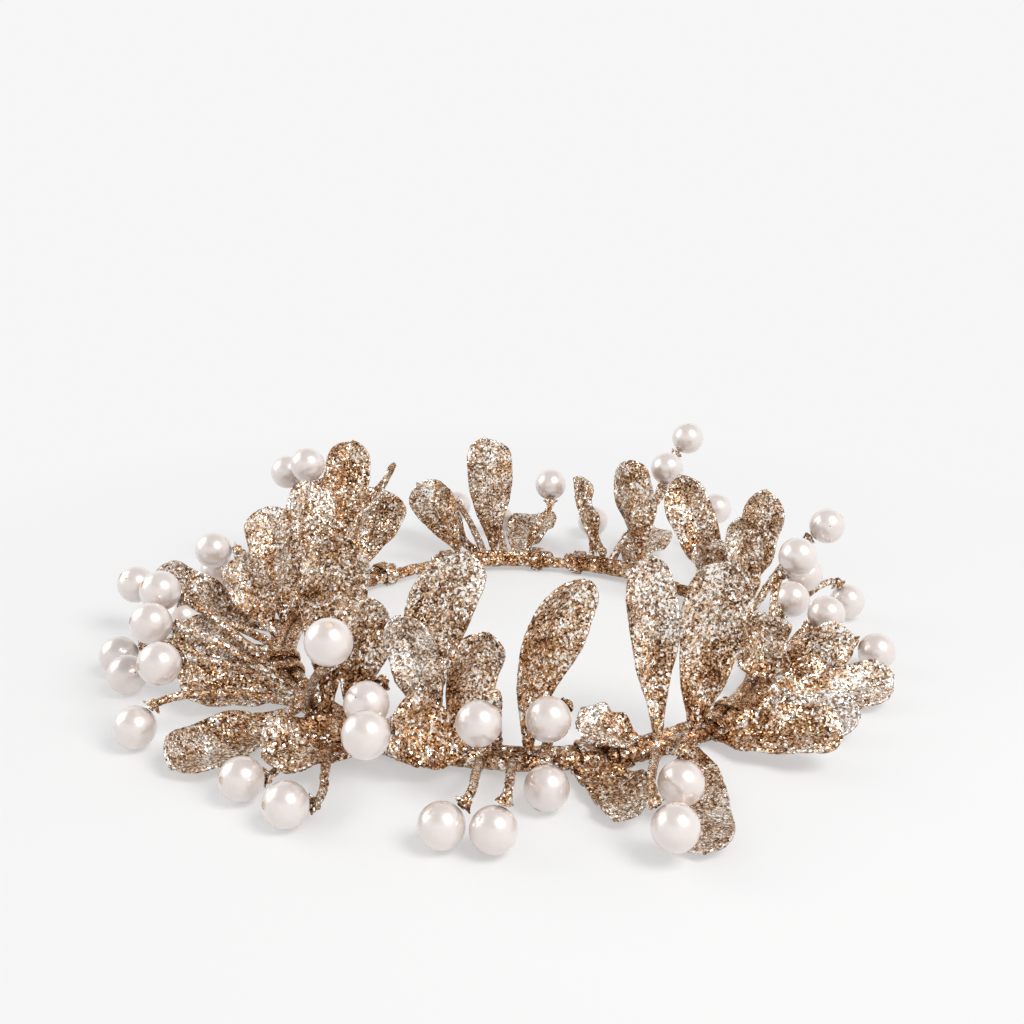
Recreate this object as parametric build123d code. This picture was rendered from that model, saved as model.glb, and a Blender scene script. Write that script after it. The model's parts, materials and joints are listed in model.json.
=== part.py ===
from build123d import *
import os
from math import acos, cos, degrees, pi, radians, sin, sqrt

os.makedirs("parts", exist_ok=True)

# Candle ring: a wire hoop that lies on the table round a pillar candle, with sprays of
# glittered leaves and pearl berries bound to it. The origin is on the table plane, at the
# centre of the hoop. +Z is up, and -Y is the side that faces the viewer. Millimetres.

# Hoop: a steel wire ring inside a glittered sleeve
hoop_radius = 62.0
wire_diameter = 1.5
sleeve_diameter = 3.4
wire_clearance = 0.06
wire_sides = 5
sleeve_sides = 7
hoop_steps = 52

# Spray stems: vines that lie along the outside of the hoop
stem_diameter = 4.2
stem_seat_gap = 0.1
stem_end_length = 4.6
stem_step_degrees = 6.0
stem_sides = 6
stem_tip_share = 0.62

# Binding tapes: flat-bottomed collars that tie each stem to the hoop and stand on the table
tape_width = 3.6
tape_thickness = 0.5
tape_clearance = 0.12
tape_corner_share = 0.5

# Pegs of leaves and twigs, and the sockets in the stems that they push into
peg_diameter = 1.4
peg_clearance = 0.06
socket_depth = 1.5
peg_rise = 1.3
socket_overrun = 2.0

# Leaves: thin spoon-shaped blades
leaf_width = 16.0
blade_thickness = 0.8

# Sprays reach outwards from the hoop and upwards from the table
spray_reach = 40.0
spray_height = 45.0

# Pearl berries: round beads with a bore, each on a twig with a small cup
pearl_diameter = 10.0
pearl_bore_diameter = 2.0
pearl_flat_diameter = 3.2
pearl_sides = 8
pearl_bands = 4
twig_diameter = 1.5
twig_sides = 5
neck_length = 8.5
cup_diameter = 3.6
cup_gap = 0.3
pin_diameter = 1.5
pin_depth = 3.2

# Outline of a blade: stations along its length, its width at each of them, and its two edges
# and midrib across
blade_station_shares = (0.16, 0.38, 0.64, 0.85, 1.0)
blade_width_shares = (0.36, 0.74, 1.0, 0.95, 0.42)
blade_rib_shares = (-1.0, 0.0, 1.0)

# Outline of a leaf's peg and stalk, as shares of the peg's radius, in step with the ribs
peg_outline_shares = ((-0.87, 0.5), (0.0, 1.0), (0.87, 0.5), (0.87, -0.5), (0.0, -1.0), (-0.87, -0.5))

# Leaves of each spray. A row holds the angle of the socket and the angle of the tip round the
# hoop, the tip's reach from the hoop as a share of spray_reach, its height as a share of
# spray_height and the width as a share of leaf_width. Then come the bearing and the elevation
# in degrees of the hollow side, and the cup, the sag and the sideways bend as shares.
leaf_shares = {
    "front": (
        (-80.4, -74.8, 0.72, 0.085, 0.86, (-90.0, 65.0), (0.15, 0.03, 0.12)),
        (-89.0, -77.2, -0.12, 0.93, 0.78, (-80.0, 10.0), (0.5, 0.04, 0.08)),
        (-101.0, -112.9, 0.3, 0.31, 1.0, (-90.0, 35.0), (0.2, 0.03, 0.0)),
        (-104.0, -99.1, -0.09, 0.66, 0.7, (-80.0, 10.0), (0.45, 0.05, 0.0)),
        (-106.6, -116.4, 0.03, 0.73, 0.68, (-90.0, 10.0), (0.3, 0.02, 0.0)),
        (-110.0, -106.4, -0.36, 0.97, 0.95, (-95.0, 10.0), (0.2, 0.05, 0.1)),
    ),
    "front_right": (
        (-49.0, -40.0, 0.8, 0.2, 0.8, (-90.0, 55.0), (0.25, -0.04, 0.0)),
        (-53.0, -45.5, 0.07, 0.96, 0.95, (-105.0, 0.0), (0.4, 0.04, 0.0)),
        (-56.0, -69.9, 1.09, 0.055, 0.9, (-120.0, 82.0), (0.12, 0.04, 0.0)),
        (-61.5, -56.4, -0.26, 0.96, 0.72, (-90.0, 0.0), (0.35, 0.04, 0.0)),
        (-66.5, -78.8, 0.04, 0.23, 0.68, (-90.0, 60.0), (0.25, -0.08, 0.0)),
    ),
    "right_front": (
        (-34.5, -29.9, 0.74, 0.13, 0.7, (-90.0, 50.0), (0.35, 0.05, 0.0)),
        (-31.5, -15.6, 0.85, 0.14, 0.76, (-90.0, 50.0), (0.3, 0.06, 0.0)),
        (-24.0, -20.0, 0.05, 0.47, 0.75, (-90.0, 0.0), (0.5, 0.05, 0.0)),
        (-16.5, -13.2, 0.57, 0.34, 0.72, (-90.0, 20.0), (0.3, 0.0, 0.0)),
    ),
    "right_back": (
        (14.0, 18.1, 0.03, 0.71, 0.6, (-90.0, 10.0), (0.35, 0.0, 0.0)),
        (20.0, 23.0, 0.31, 0.82, 0.7, (-90.0, 10.0), (0.5, 0.0, 0.0)),
        (22.8, 28.0, -0.11, 0.51, 0.65, (-90.0, 20.0), (0.4, 0.05, 0.0)),
        (25.5, 41.4, -0.08, 0.83, 0.8, (-100.0, 10.0), (0.35, -0.05, 0.0)),
    ),
    "back_right": (
        (56.0, 62.0, 0.1, 0.8, 0.85, (60.0, 20.0), (0.4, 0.0, 0.0)),
        (62.0, 63.0, 0.85, 0.14, 0.95, (60.0, 80.0), (0.3, 0.06, 0.0)),
        (68.0, 78.0, 0.45, 0.55, 0.85, (60.0, 40.0), (0.35, 0.05, 0.0)),
    ),
    "back": (
        (92.0, 87.0, 0.82, 0.16, 0.95, (90.0, 80.0), (0.3, 0.06, 0.0)),
        (98.0, 100.0, 0.12, 0.9, 0.85, (90.0, 10.0), (0.4, 0.05, 0.0)),
        (103.0, 111.0, 0.8, 0.4, 0.9, (100.0, 60.0), (0.35, 0.05, 0.0)),
        (108.0, 118.0, 0.1, 0.62, 0.8, (110.0, 20.0), (0.4, 0.0, 0.0)),
    ),
    "back_left": (
        (138.0, 128.0, 0.24, 0.6, 1.15, (-90.0, 0.0), (0.3, 0.05, 0.0)),
        (146.0, 131.5, 0.46, 0.89, 0.85, (-80.0, 0.0), (0.35, 0.0, 0.0)),
        (152.0, 131.0, -0.07, 0.84, 0.55, (180.0, 48.0), (0.3, 0.0, 0.0)),
    ),
    "left": (
        (164.0, 148.2, 0.26, 0.76, 0.9, (-70.0, 10.0), (0.3, 0.0, 0.0)),
        (168.8, 160.1, 0.39, 0.67, 0.9, (-80.0, 20.0), (0.35, 0.02, 0.0)),
        (176.0, 175.0, 0.02, 0.65, 0.5, (-60.0, 10.0), (0.5, 0.0, 0.0)),
        (178.6, 184.0, 0.86, 0.49, 0.8, (-90.0, 45.0), (0.3, 0.05, 0.0)),
        (182.5, 180.0, 0.35, 0.56, 0.75, (-80.0, 20.0), (0.45, 0.0, 0.0)),
    ),
    "front_left": (
        (-156.3, -161.8, 0.74, 0.31, 1.05, (-90.0, 40.0), (0.3, 0.05, 0.0)),
        (-149.2, -155.2, 0.73, 0.2, 0.8, (-90.0, 50.0), (0.3, 0.05, 0.0)),
        (-142.2, -137.0, 1.07, 0.07, 1.0, (-105.0, 55.0), (0.3, 0.02, 0.0)),
        (-135.2, -139.1, -0.09, 1.0, 1.0, (-80.0, 0.0), (0.4, 0.05, 0.0)),
        (-123.4, -127.8, 0.75, 0.16, 0.93, (-95.0, 57.0), (0.2, -0.07, 0.0)),
        (-128.1, -127.6, -0.07, 0.73, 0.75, (-80.0, 5.0), (0.35, 0.0, 0.0)),
    ),
}

# Berries of each spray. A row holds the angle of the socket and of the pearl round the hoop,
# the pearl's reach as a share of spray_reach, its lift off the table as a share of
# spray_height, and the neck's direction back from the pearl as shares of neck_length.
berry_shares = {
    "front": (
        (-83.0, -86.5, 0.48, 0.0, (0.4, 0.6, 0.7)),
        (-86.0, -86.0, 0.3, 0.28, (0.6, 0.78, 0.1)),
        (-92.0, -93.5, 0.9, 0.0, (0.35, 0.35, 0.87)),
        (-95.0, -97.0, 0.44, 0.31, (0.45, 0.4, 0.8)),
        (-98.0, -99.7, 0.9, 0.0, (0.7, 0.4, 0.6)),
    ),
    "front_right": (
        (-58.5, -68.3, 0.69, 0.07, (0.05, 0.5, 0.86)),
        (-64.0, -73.2, 1.06, 0.06, (-0.6, 0.5, 0.6)),
    ),
    "right_front": (
        (-20.0, -4.0, 0.23, 0.57, (-0.6, 0.0, -0.8)),
        (-12.5, -1.1, 0.47, 0.18, (-0.8, -0.4, -0.4)),
        (-9.0, -4.3, 0.8, 0.0, (-0.9, 0.3, 0.3)),
        (-5.0, 8.5, 0.32, 0.16, (-0.7, -0.6, -0.3)),
    ),
    "right_back": (
        (8.0, 16.6, 0.9, 0.0, (-0.5, 0.0, 0.86)),
        (11.0, 14.8, 0.5, 0.24, (-0.4, -0.3, -0.86)),
        (17.0, 18.0, 0.71, 0.51, (-0.75, 0.1, -0.65)),
        (28.5, 53.0, 1.07, 0.2, (-0.6, -0.6, -0.5)),
    ),
    "back_right": (
        (59.0, 58.6, 0.98, 0.71, (-0.6, -0.3, -0.75)),
        (65.0, 56.0, 0.42, 0.62, (-0.1, -0.4, -0.9)),
        (71.0, 76.0, 0.9, 0.0, (-0.2, -0.8, 0.55)),
    ),
    "back": (
        (89.0, 84.0, 0.55, 0.36, (0.0, -0.7, -0.7)),
        (95.0, 95.0, 0.85, 0.0, (-0.1, -0.8, 0.6)),
        (100.5, 103.0, 0.95, 0.08, (0.1, -0.9, 0.4)),
    ),
    "back_left": (
        (134.0, 134.0, 0.9, 0.0, (0.2, -0.85, 0.5)),
        (142.0, 142.0, 0.73, 0.6, (0.6, -0.2, -0.77)),
        (149.0, 145.0, 0.4, 0.73, (0.5, 0.0, -0.86)),
    ),
    "left": (
        (166.4, 165.0, 0.7, 0.16, (0.95, -0.1, -0.2)),
        (171.2, 169.5, 0.64, 0.36, (0.98, 0.1, 0.0)),
        (173.6, 176.0, 1.1, 0.2, (0.75, 0.3, -0.6)),
        (185.5, 190.6, 0.67, 0.21, (0.95, 0.2, -0.2)),
        (188.3, 190.5, 1.08, 0.0, (0.9, 0.3, 0.3)),
        (190.8, 197.0, 1.02, 0.0, (0.9, 0.35, 0.25)),
    ),
    "front_left": (
        (-153.9, -162.0, 0.79, 0.49, (0.75, 0.4, -0.5)),
        (-151.6, -156.0, 0.88, 0.4, (0.85, 0.4, -0.3)),
        (-146.9, -146.5, 0.94, 0.33, (0.8, 0.6, -0.1)),
        (-144.5, -147.0, 1.1, 0.0, (0.6, 0.4, 0.7)),
        (-139.9, -115.5, 0.78, 0.76, (-0.1, 0.35, -0.93)),
        (-137.5, -127.0, 0.95, 0.0, (0.7, 0.6, -0.27)),
        (-130.4, -118.6, 1.01, 0.0, (0.8, 0.5, -0.25)),
        (-125.8, -115.0, 0.46, 0.33, (0.45, 0.75, 0.45)),
        (-121.0, -109.0, 0.9, 0.4, (0.9, 0.4, 0.0)),
    ),
}

# Worked out from the sizes above
sleeve_radius = sleeve_diameter / 2
stem_radius = stem_diameter / 2
peg_radius = peg_diameter / 2
twig_radius = twig_diameter / 2
pearl_radius = pearl_diameter / 2
stem_offset = sleeve_radius + stem_seat_gap + stem_radius
stem_run_radius = hoop_radius + stem_offset
run_height = stem_radius + tape_clearance + tape_thickness
pearl_flat_height = sqrt(pearl_radius**2 - (pearl_flat_diameter / 2) ** 2)


def polar(angle, radius, height):
    """A point at an angle round the hoop."""
    turn = radians(angle)
    return Vector(radius * cos(turn), radius * sin(turn), height)


def tangent(angle):
    """The direction that runs round the hoop at an angle."""
    turn = radians(angle)
    return Vector(-sin(turn), cos(turn), 0)


def square_to(direction, axis):
    """The part of a direction that is square to an axis, as a unit vector."""
    return (direction - axis * direction.dot(axis)).normalized()


def circle_shares(sides):
    """The corners of a regular polygon, as shares of its radius."""
    turns = [2 * pi * k / sides for k in range(sides)]
    return [(cos(turn), sin(turn)) for turn in turns]


def ring(centre, across, up, radius, shares):
    """Corners placed round a centre."""
    return [centre + across * (radius * x) + up * (radius * y) for x, y in shares]


def patch(a, b, c, d):
    """One flat face through four corners, or two where the four don't lie in one plane."""
    normal = (b - a).cross(d - a).normalized()
    if abs(normal.dot(c - a)) < cup_gap / 1e5:
        return [Face(Wire.make_polygon([a, b, c, d], close=True))]
    return [Face(Wire.make_polygon(corners, close=True)) for corners in ([a, b, c], [a, c, d])]


def skin(sections, closed=False):
    """A solid whose flat faces join each section to the next, corner to corner."""
    pairs = list(zip(sections, sections[1:]))
    faces = []
    if closed:
        pairs.append((sections[-1], sections[0]))
    else:
        faces += [Face(Wire.make_polygon(end, close=True)) for end in (sections[0], sections[-1])]
    for low, high in pairs:
        for k in range(len(low)):
            j = (k + 1) % len(low)
            faces += patch(low[k], low[j], high[j], high[k])
    return Solid(Shell(faces))


def bar(points, radii, side, sides):
    """A many-sided bar through the points, mitred at each bend."""
    legs = [(b - a).normalized() for a, b in zip(points, points[1:])]
    normals = [legs[0]] + [(a + b).normalized() for a, b in zip(legs, legs[1:])] + [legs[-1]]
    sections = []
    for point, normal, radius in zip(points, normals, radii):
        side = square_to(side, normal)
        sections.append(ring(point, side, normal.cross(side), radius, circle_shares(sides)))
    return skin(sections)


def stem_point(angle):
    """A point on the centre line of the stems."""
    return polar(angle, stem_run_radius, run_height)


def socket_line(angle, target):
    """Where a socket lies, and its direction towards a target, square to the stem."""
    centre = stem_point(angle)
    return centre, square_to(target - centre, tangent(angle))


def leaf_tip(row):
    """The tip of a leaf."""
    return polar(row[1], hoop_radius + row[2] * spray_reach, row[3] * spray_height)


def leaf_axes(row):
    """The root of a leaf's blade, and the directions along, up from and across the blade."""
    tip = leaf_tip(row)
    centre, out = socket_line(row[0], tip)
    root = centre + out * (stem_radius + peg_rise)
    along = (tip - root).normalized()
    bearing, elevation = [radians(angle) for angle in row[5]]
    facing = Vector(cos(bearing) * cos(elevation), sin(bearing) * cos(elevation), sin(elevation))
    up = square_to(facing, along)
    return root, along, up, up.cross(along)


def cross_axes(normal, up, across):
    """The directions across and up of a section square to normal, near those of the blade."""
    if abs(up.dot(normal)) < abs(across.dot(normal)):
        level = square_to(up, normal)
        return level.cross(normal), level
    level = square_to(across, normal)
    return level, normal.cross(level)


def blade_section(row, root, along, up, across, station, width_share):
    """The corners of a blade at one station: its hollow side, then its back."""
    length = (leaf_tip(row) - root).length
    cup, sag, bend = row[6]
    half = row[4] * leaf_width * width_share / 2
    swing = 4 * station * (1 - station) * length
    middle = root + along * (length * station) - up * (sag * swing) + across * (bend * swing)
    top = [middle + across * (half * rib) + up * (half * cup * rib**2) for rib in blade_rib_shares]
    return top + [corner - up * blade_thickness for corner in reversed(top)]


def leaf(row):
    """One leaf: its peg, its stalk and its blade in one piece."""
    root, along, up, across = leaf_axes(row)
    centre, out = socket_line(row[0], leaf_tip(row))
    peg_across, peg_up = cross_axes(out, up, across)
    root_across, root_up = cross_axes((out + along).normalized(), up, across)
    bottom = centre + out * (stem_radius - socket_depth)
    sections = [
        ring(bottom, peg_across, peg_up, peg_radius, peg_outline_shares),
        ring(root, root_across, root_up, peg_radius, peg_outline_shares),
    ]
    for station, width_share in zip(blade_station_shares, blade_width_shares):
        sections.append(blade_section(row, root, along, up, across, station, width_share))
    return skin(sections)


def leaf_socket(row):
    """The hole in a stem that a leaf's peg pushes into."""
    root, along, up, across = leaf_axes(row)
    centre, out = socket_line(row[0], leaf_tip(row))
    across, up = cross_axes(out, up, across)
    bottom = centre + out * (stem_radius - socket_depth - peg_clearance)
    mouth = centre + out * (stem_radius + socket_overrun)
    radius = peg_radius + peg_clearance
    return skin([ring(end, across, up, radius, peg_outline_shares) for end in (bottom, mouth)])


def pearl_centre(row):
    """The middle of a pearl, which never goes below the table."""
    return polar(row[1], hoop_radius + row[2] * spray_reach, pearl_radius + row[3] * spray_height)


def berry_neck(row):
    """The bend of a twig, behind its pearl."""
    return pearl_centre(row) + Vector(*row[4]).normalized() * neck_length


def twig(row):
    """One twig: its peg, its bent wire, the cup under the pearl and the pin inside the pearl."""
    pearl = pearl_centre(row)
    neck = berry_neck(row)
    centre, out = socket_line(row[0], neck)
    ahead = (pearl - neck).normalized()
    pin_radius = pin_diameter / 2
    points = [
        centre + out * (stem_radius - socket_depth),
        centre + out * (stem_radius + peg_rise),
        neck,
        pearl - ahead * (pearl_flat_height + cup_gap),
        pearl - ahead * (pearl_flat_height + cup_gap / 3),
        pearl - ahead * (pearl_flat_height - pin_depth),
    ]
    radii = [peg_radius, twig_radius, twig_radius, cup_diameter / 2, pin_radius, pin_radius]
    return bar(points, radii, tangent(row[0]), twig_sides)


def twig_socket(row):
    """The hole in a stem that a twig's peg pushes into."""
    centre, out = socket_line(row[0], berry_neck(row))
    bottom = centre + out * (stem_radius - socket_depth - peg_clearance)
    mouth = centre + out * (stem_radius + socket_overrun)
    radius = peg_radius + peg_clearance
    return bar([bottom, mouth], [radius, radius], tangent(row[0]), twig_sides)


def bead():
    """One pearl on its bore, which runs along Z."""
    across, up = Vector(1, 0, 0), Vector(0, 1, 0)
    pole = acos(pearl_flat_diameter / pearl_diameter)
    sections = []
    for k in range(pearl_bands + 1):
        lift = pole * (2 * k / pearl_bands - 1)
        centre = Vector(0, 0, pearl_radius * sin(lift))
        sections.append(ring(centre, across, up, pearl_radius * cos(lift), circle_shares(pearl_sides)))
    bore_radius = pearl_bore_diameter / 2
    ends = [Vector(0, 0, -pearl_radius), Vector(0, 0, pearl_radius)]
    return skin(sections) - bar(ends, [bore_radius, bore_radius], across, twig_sides)


def pearl(row, bead_shape):
    """One pearl in its place, turned to lie along the end of its twig."""
    centre = pearl_centre(row)
    ahead = (centre - berry_neck(row)).normalized()
    side = square_to(tangent(row[0]), ahead)
    return Plane(origin=centre, x_dir=side, z_dir=ahead) * bead_shape


def stem_span(spray):
    """The angles where a stem starts and ends, past its outer sockets and its tapes."""
    angles = [row[0] for row in leaf_shares[spray] + berry_shares[spray]]
    past = degrees((stem_end_length + peg_diameter) / stem_run_radius)
    return min(angles) - past, max(angles) + past


def stem(spray):
    """The vine of one spray, with a socket for each leaf and twig."""
    first, last = stem_span(spray)
    steps = max(2, round((last - first) / stem_step_degrees))
    angles = [first + (last - first) * k / steps for k in range(steps + 1)]
    radii = [stem_radius] * len(angles)
    radii[0] = radii[-1] = stem_radius * stem_tip_share
    vine = bar([stem_point(angle) for angle in angles], radii, Vector(0, 0, 1), stem_sides)
    sockets = [leaf_socket(row) for row in leaf_shares[spray]]
    sockets += [twig_socket(row) for row in berry_shares[spray]]
    for socket in sockets:
        vine -= socket
    return vine


def tape_outline(angle, margin):
    """A long octagon round the hoop and a stem, with a flat underside."""
    centre = polar(angle, hoop_radius, run_height) - tangent(angle) * (tape_width / 2)
    outwards = polar(angle, 1, 0)
    half = stem_radius + margin
    low = -sleeve_radius - margin
    high = stem_offset + stem_radius + margin
    corner = half * tape_corner_share
    outline = [
        (low, corner - half), (low + corner, -half), (high - corner, -half), (high, corner - half),
        (high, half - corner), (high - corner, half), (low + corner, half), (low, half - corner),
    ]
    corners = [centre + outwards * u + Vector(0, 0, 1) * v for u, v in outline]
    return Wire.make_polygon(corners, close=True)


def tape(angle):
    """A collar of binding tape round the hoop and one end of a stem."""
    outer = tape_outline(angle, tape_clearance + tape_thickness)
    inner = tape_outline(angle, tape_clearance)
    return extrude(Face(outer, [inner]), amount=tape_width, dir=tangent(angle))


def tapes(spray):
    """The two collars that hold one stem."""
    first, last = stem_span(spray)
    inset = degrees((stem_end_length / 2) / stem_run_radius)
    return [tape(first + inset), tape(last - inset)]


def hoop_ring(radius, sides):
    """A many-sided ring along the hoop."""
    sections = []
    for k in range(hoop_steps):
        angle = 360 * k / hoop_steps
        centre = polar(angle, hoop_radius, run_height)
        sections.append(ring(centre, polar(angle, 1, 0), Vector(0, 0, 1), radius, circle_shares(sides)))
    return skin(sections, closed=True)


def hoop_wire():
    """The steel ring."""
    return hoop_ring(wire_diameter / 2, wire_sides)


def hoop_sleeve():
    """The glittered sleeve round the steel ring."""
    return hoop_ring(sleeve_radius, sleeve_sides) - hoop_ring(wire_diameter / 2 + wire_clearance, wire_sides)


def save(name, solids):
    """Write one node, from one solid or several separate ones."""
    shape = solids[0] if len(solids) == 1 else Compound(children=[Part(s.wrapped) for s in solids])
    export_step(shape, f"parts/{name}.step")


save("hoop_wire", [hoop_wire()])
save("hoop_sleeve", [hoop_sleeve()])
bead_shape = bead()
for spray in leaf_shares:
    save(f"{spray}_stem", [stem(spray)])
    save(f"{spray}_tapes", tapes(spray))
    save(f"{spray}_leaves", [leaf(row) for row in leaf_shares[spray]])
    save(f"{spray}_twigs", [twig(row) for row in berry_shares[spray]])
    save(f"{spray}_pearls", [pearl(row, bead_shape) for row in berry_shares[spray]])
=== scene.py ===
"""Looks of a candle ring: glittered leaves and pearl berries on a wire hoop that lies on a table.

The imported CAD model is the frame. Every piece made here takes the place of one CAD node or gives
it a finish, in the same coordinates: metres, +Z up, and -Y towards the viewer.
"""

import json
import logging
import math
from collections.abc import Callable
from dataclasses import dataclass, field
from enum import Enum

import bpy
import numpy as np
from mathutils import Matrix, Vector

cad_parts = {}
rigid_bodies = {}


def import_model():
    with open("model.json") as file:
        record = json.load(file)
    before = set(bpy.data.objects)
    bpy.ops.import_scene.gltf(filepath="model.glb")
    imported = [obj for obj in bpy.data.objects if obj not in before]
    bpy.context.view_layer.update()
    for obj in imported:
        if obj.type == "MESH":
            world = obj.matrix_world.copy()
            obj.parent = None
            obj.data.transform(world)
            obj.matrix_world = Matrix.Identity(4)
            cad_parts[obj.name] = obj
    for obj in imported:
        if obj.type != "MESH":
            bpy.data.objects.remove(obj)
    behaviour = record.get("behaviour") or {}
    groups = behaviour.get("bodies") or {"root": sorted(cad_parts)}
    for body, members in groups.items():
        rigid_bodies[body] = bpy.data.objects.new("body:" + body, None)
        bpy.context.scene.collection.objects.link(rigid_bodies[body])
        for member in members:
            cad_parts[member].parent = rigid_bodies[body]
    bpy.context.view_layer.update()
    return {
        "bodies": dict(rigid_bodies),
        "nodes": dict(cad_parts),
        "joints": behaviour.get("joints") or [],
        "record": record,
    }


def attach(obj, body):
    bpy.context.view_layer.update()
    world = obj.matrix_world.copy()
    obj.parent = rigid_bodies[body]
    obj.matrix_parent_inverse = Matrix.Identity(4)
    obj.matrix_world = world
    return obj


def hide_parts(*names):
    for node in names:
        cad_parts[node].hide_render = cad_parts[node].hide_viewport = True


LOG = logging.getLogger("candle_ring")
LEAF_RUN = "leaf_run"
HAIR = 0.00001

Colour = tuple[float, float, float, float]
Piece = bpy.types.Object
Socket = bpy.types.NodeSocket
Sockets = bpy.types.bpy_prop_collection


@dataclass(frozen=True)
class LeafRow:
    """Where one leaf stands on its spray and how it is shaped.

    Attributes:
        socket: The angle of its socket round the hoop, in degrees.
        tip: The angle of its tip round the hoop, in degrees.
        reach: How far out its tip stands, as a share of the ring's reach.
        height: How high its tip stands, as a share of the ring's height.
        width: Its width, as a share of a full leaf's.
        hollow: The bearing and the lift of its hollow side, in degrees.
        form: Its cup, its sag and its sideways bend.
    """

    socket: float
    tip: float
    reach: float
    height: float
    width: float
    hollow: tuple[float, float]
    form: tuple[float, float, float]


@dataclass(frozen=True)
class BerryRow:
    """Where one twig leaves its stem and where its pearl sits.

    Attributes:
        socket: The angle of its socket round the hoop, in degrees.
        pearl: The angle of its pearl round the hoop, in degrees.
        reach: How far out the pearl sits, as a share of the ring's reach.
        lift: How high the pearl sits, as a share of the ring's height.
        neck: The way from the pearl to the bend of the twig behind it.
    """

    socket: float
    pearl: float
    reach: float
    lift: float
    neck: tuple[float, float, float]


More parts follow.
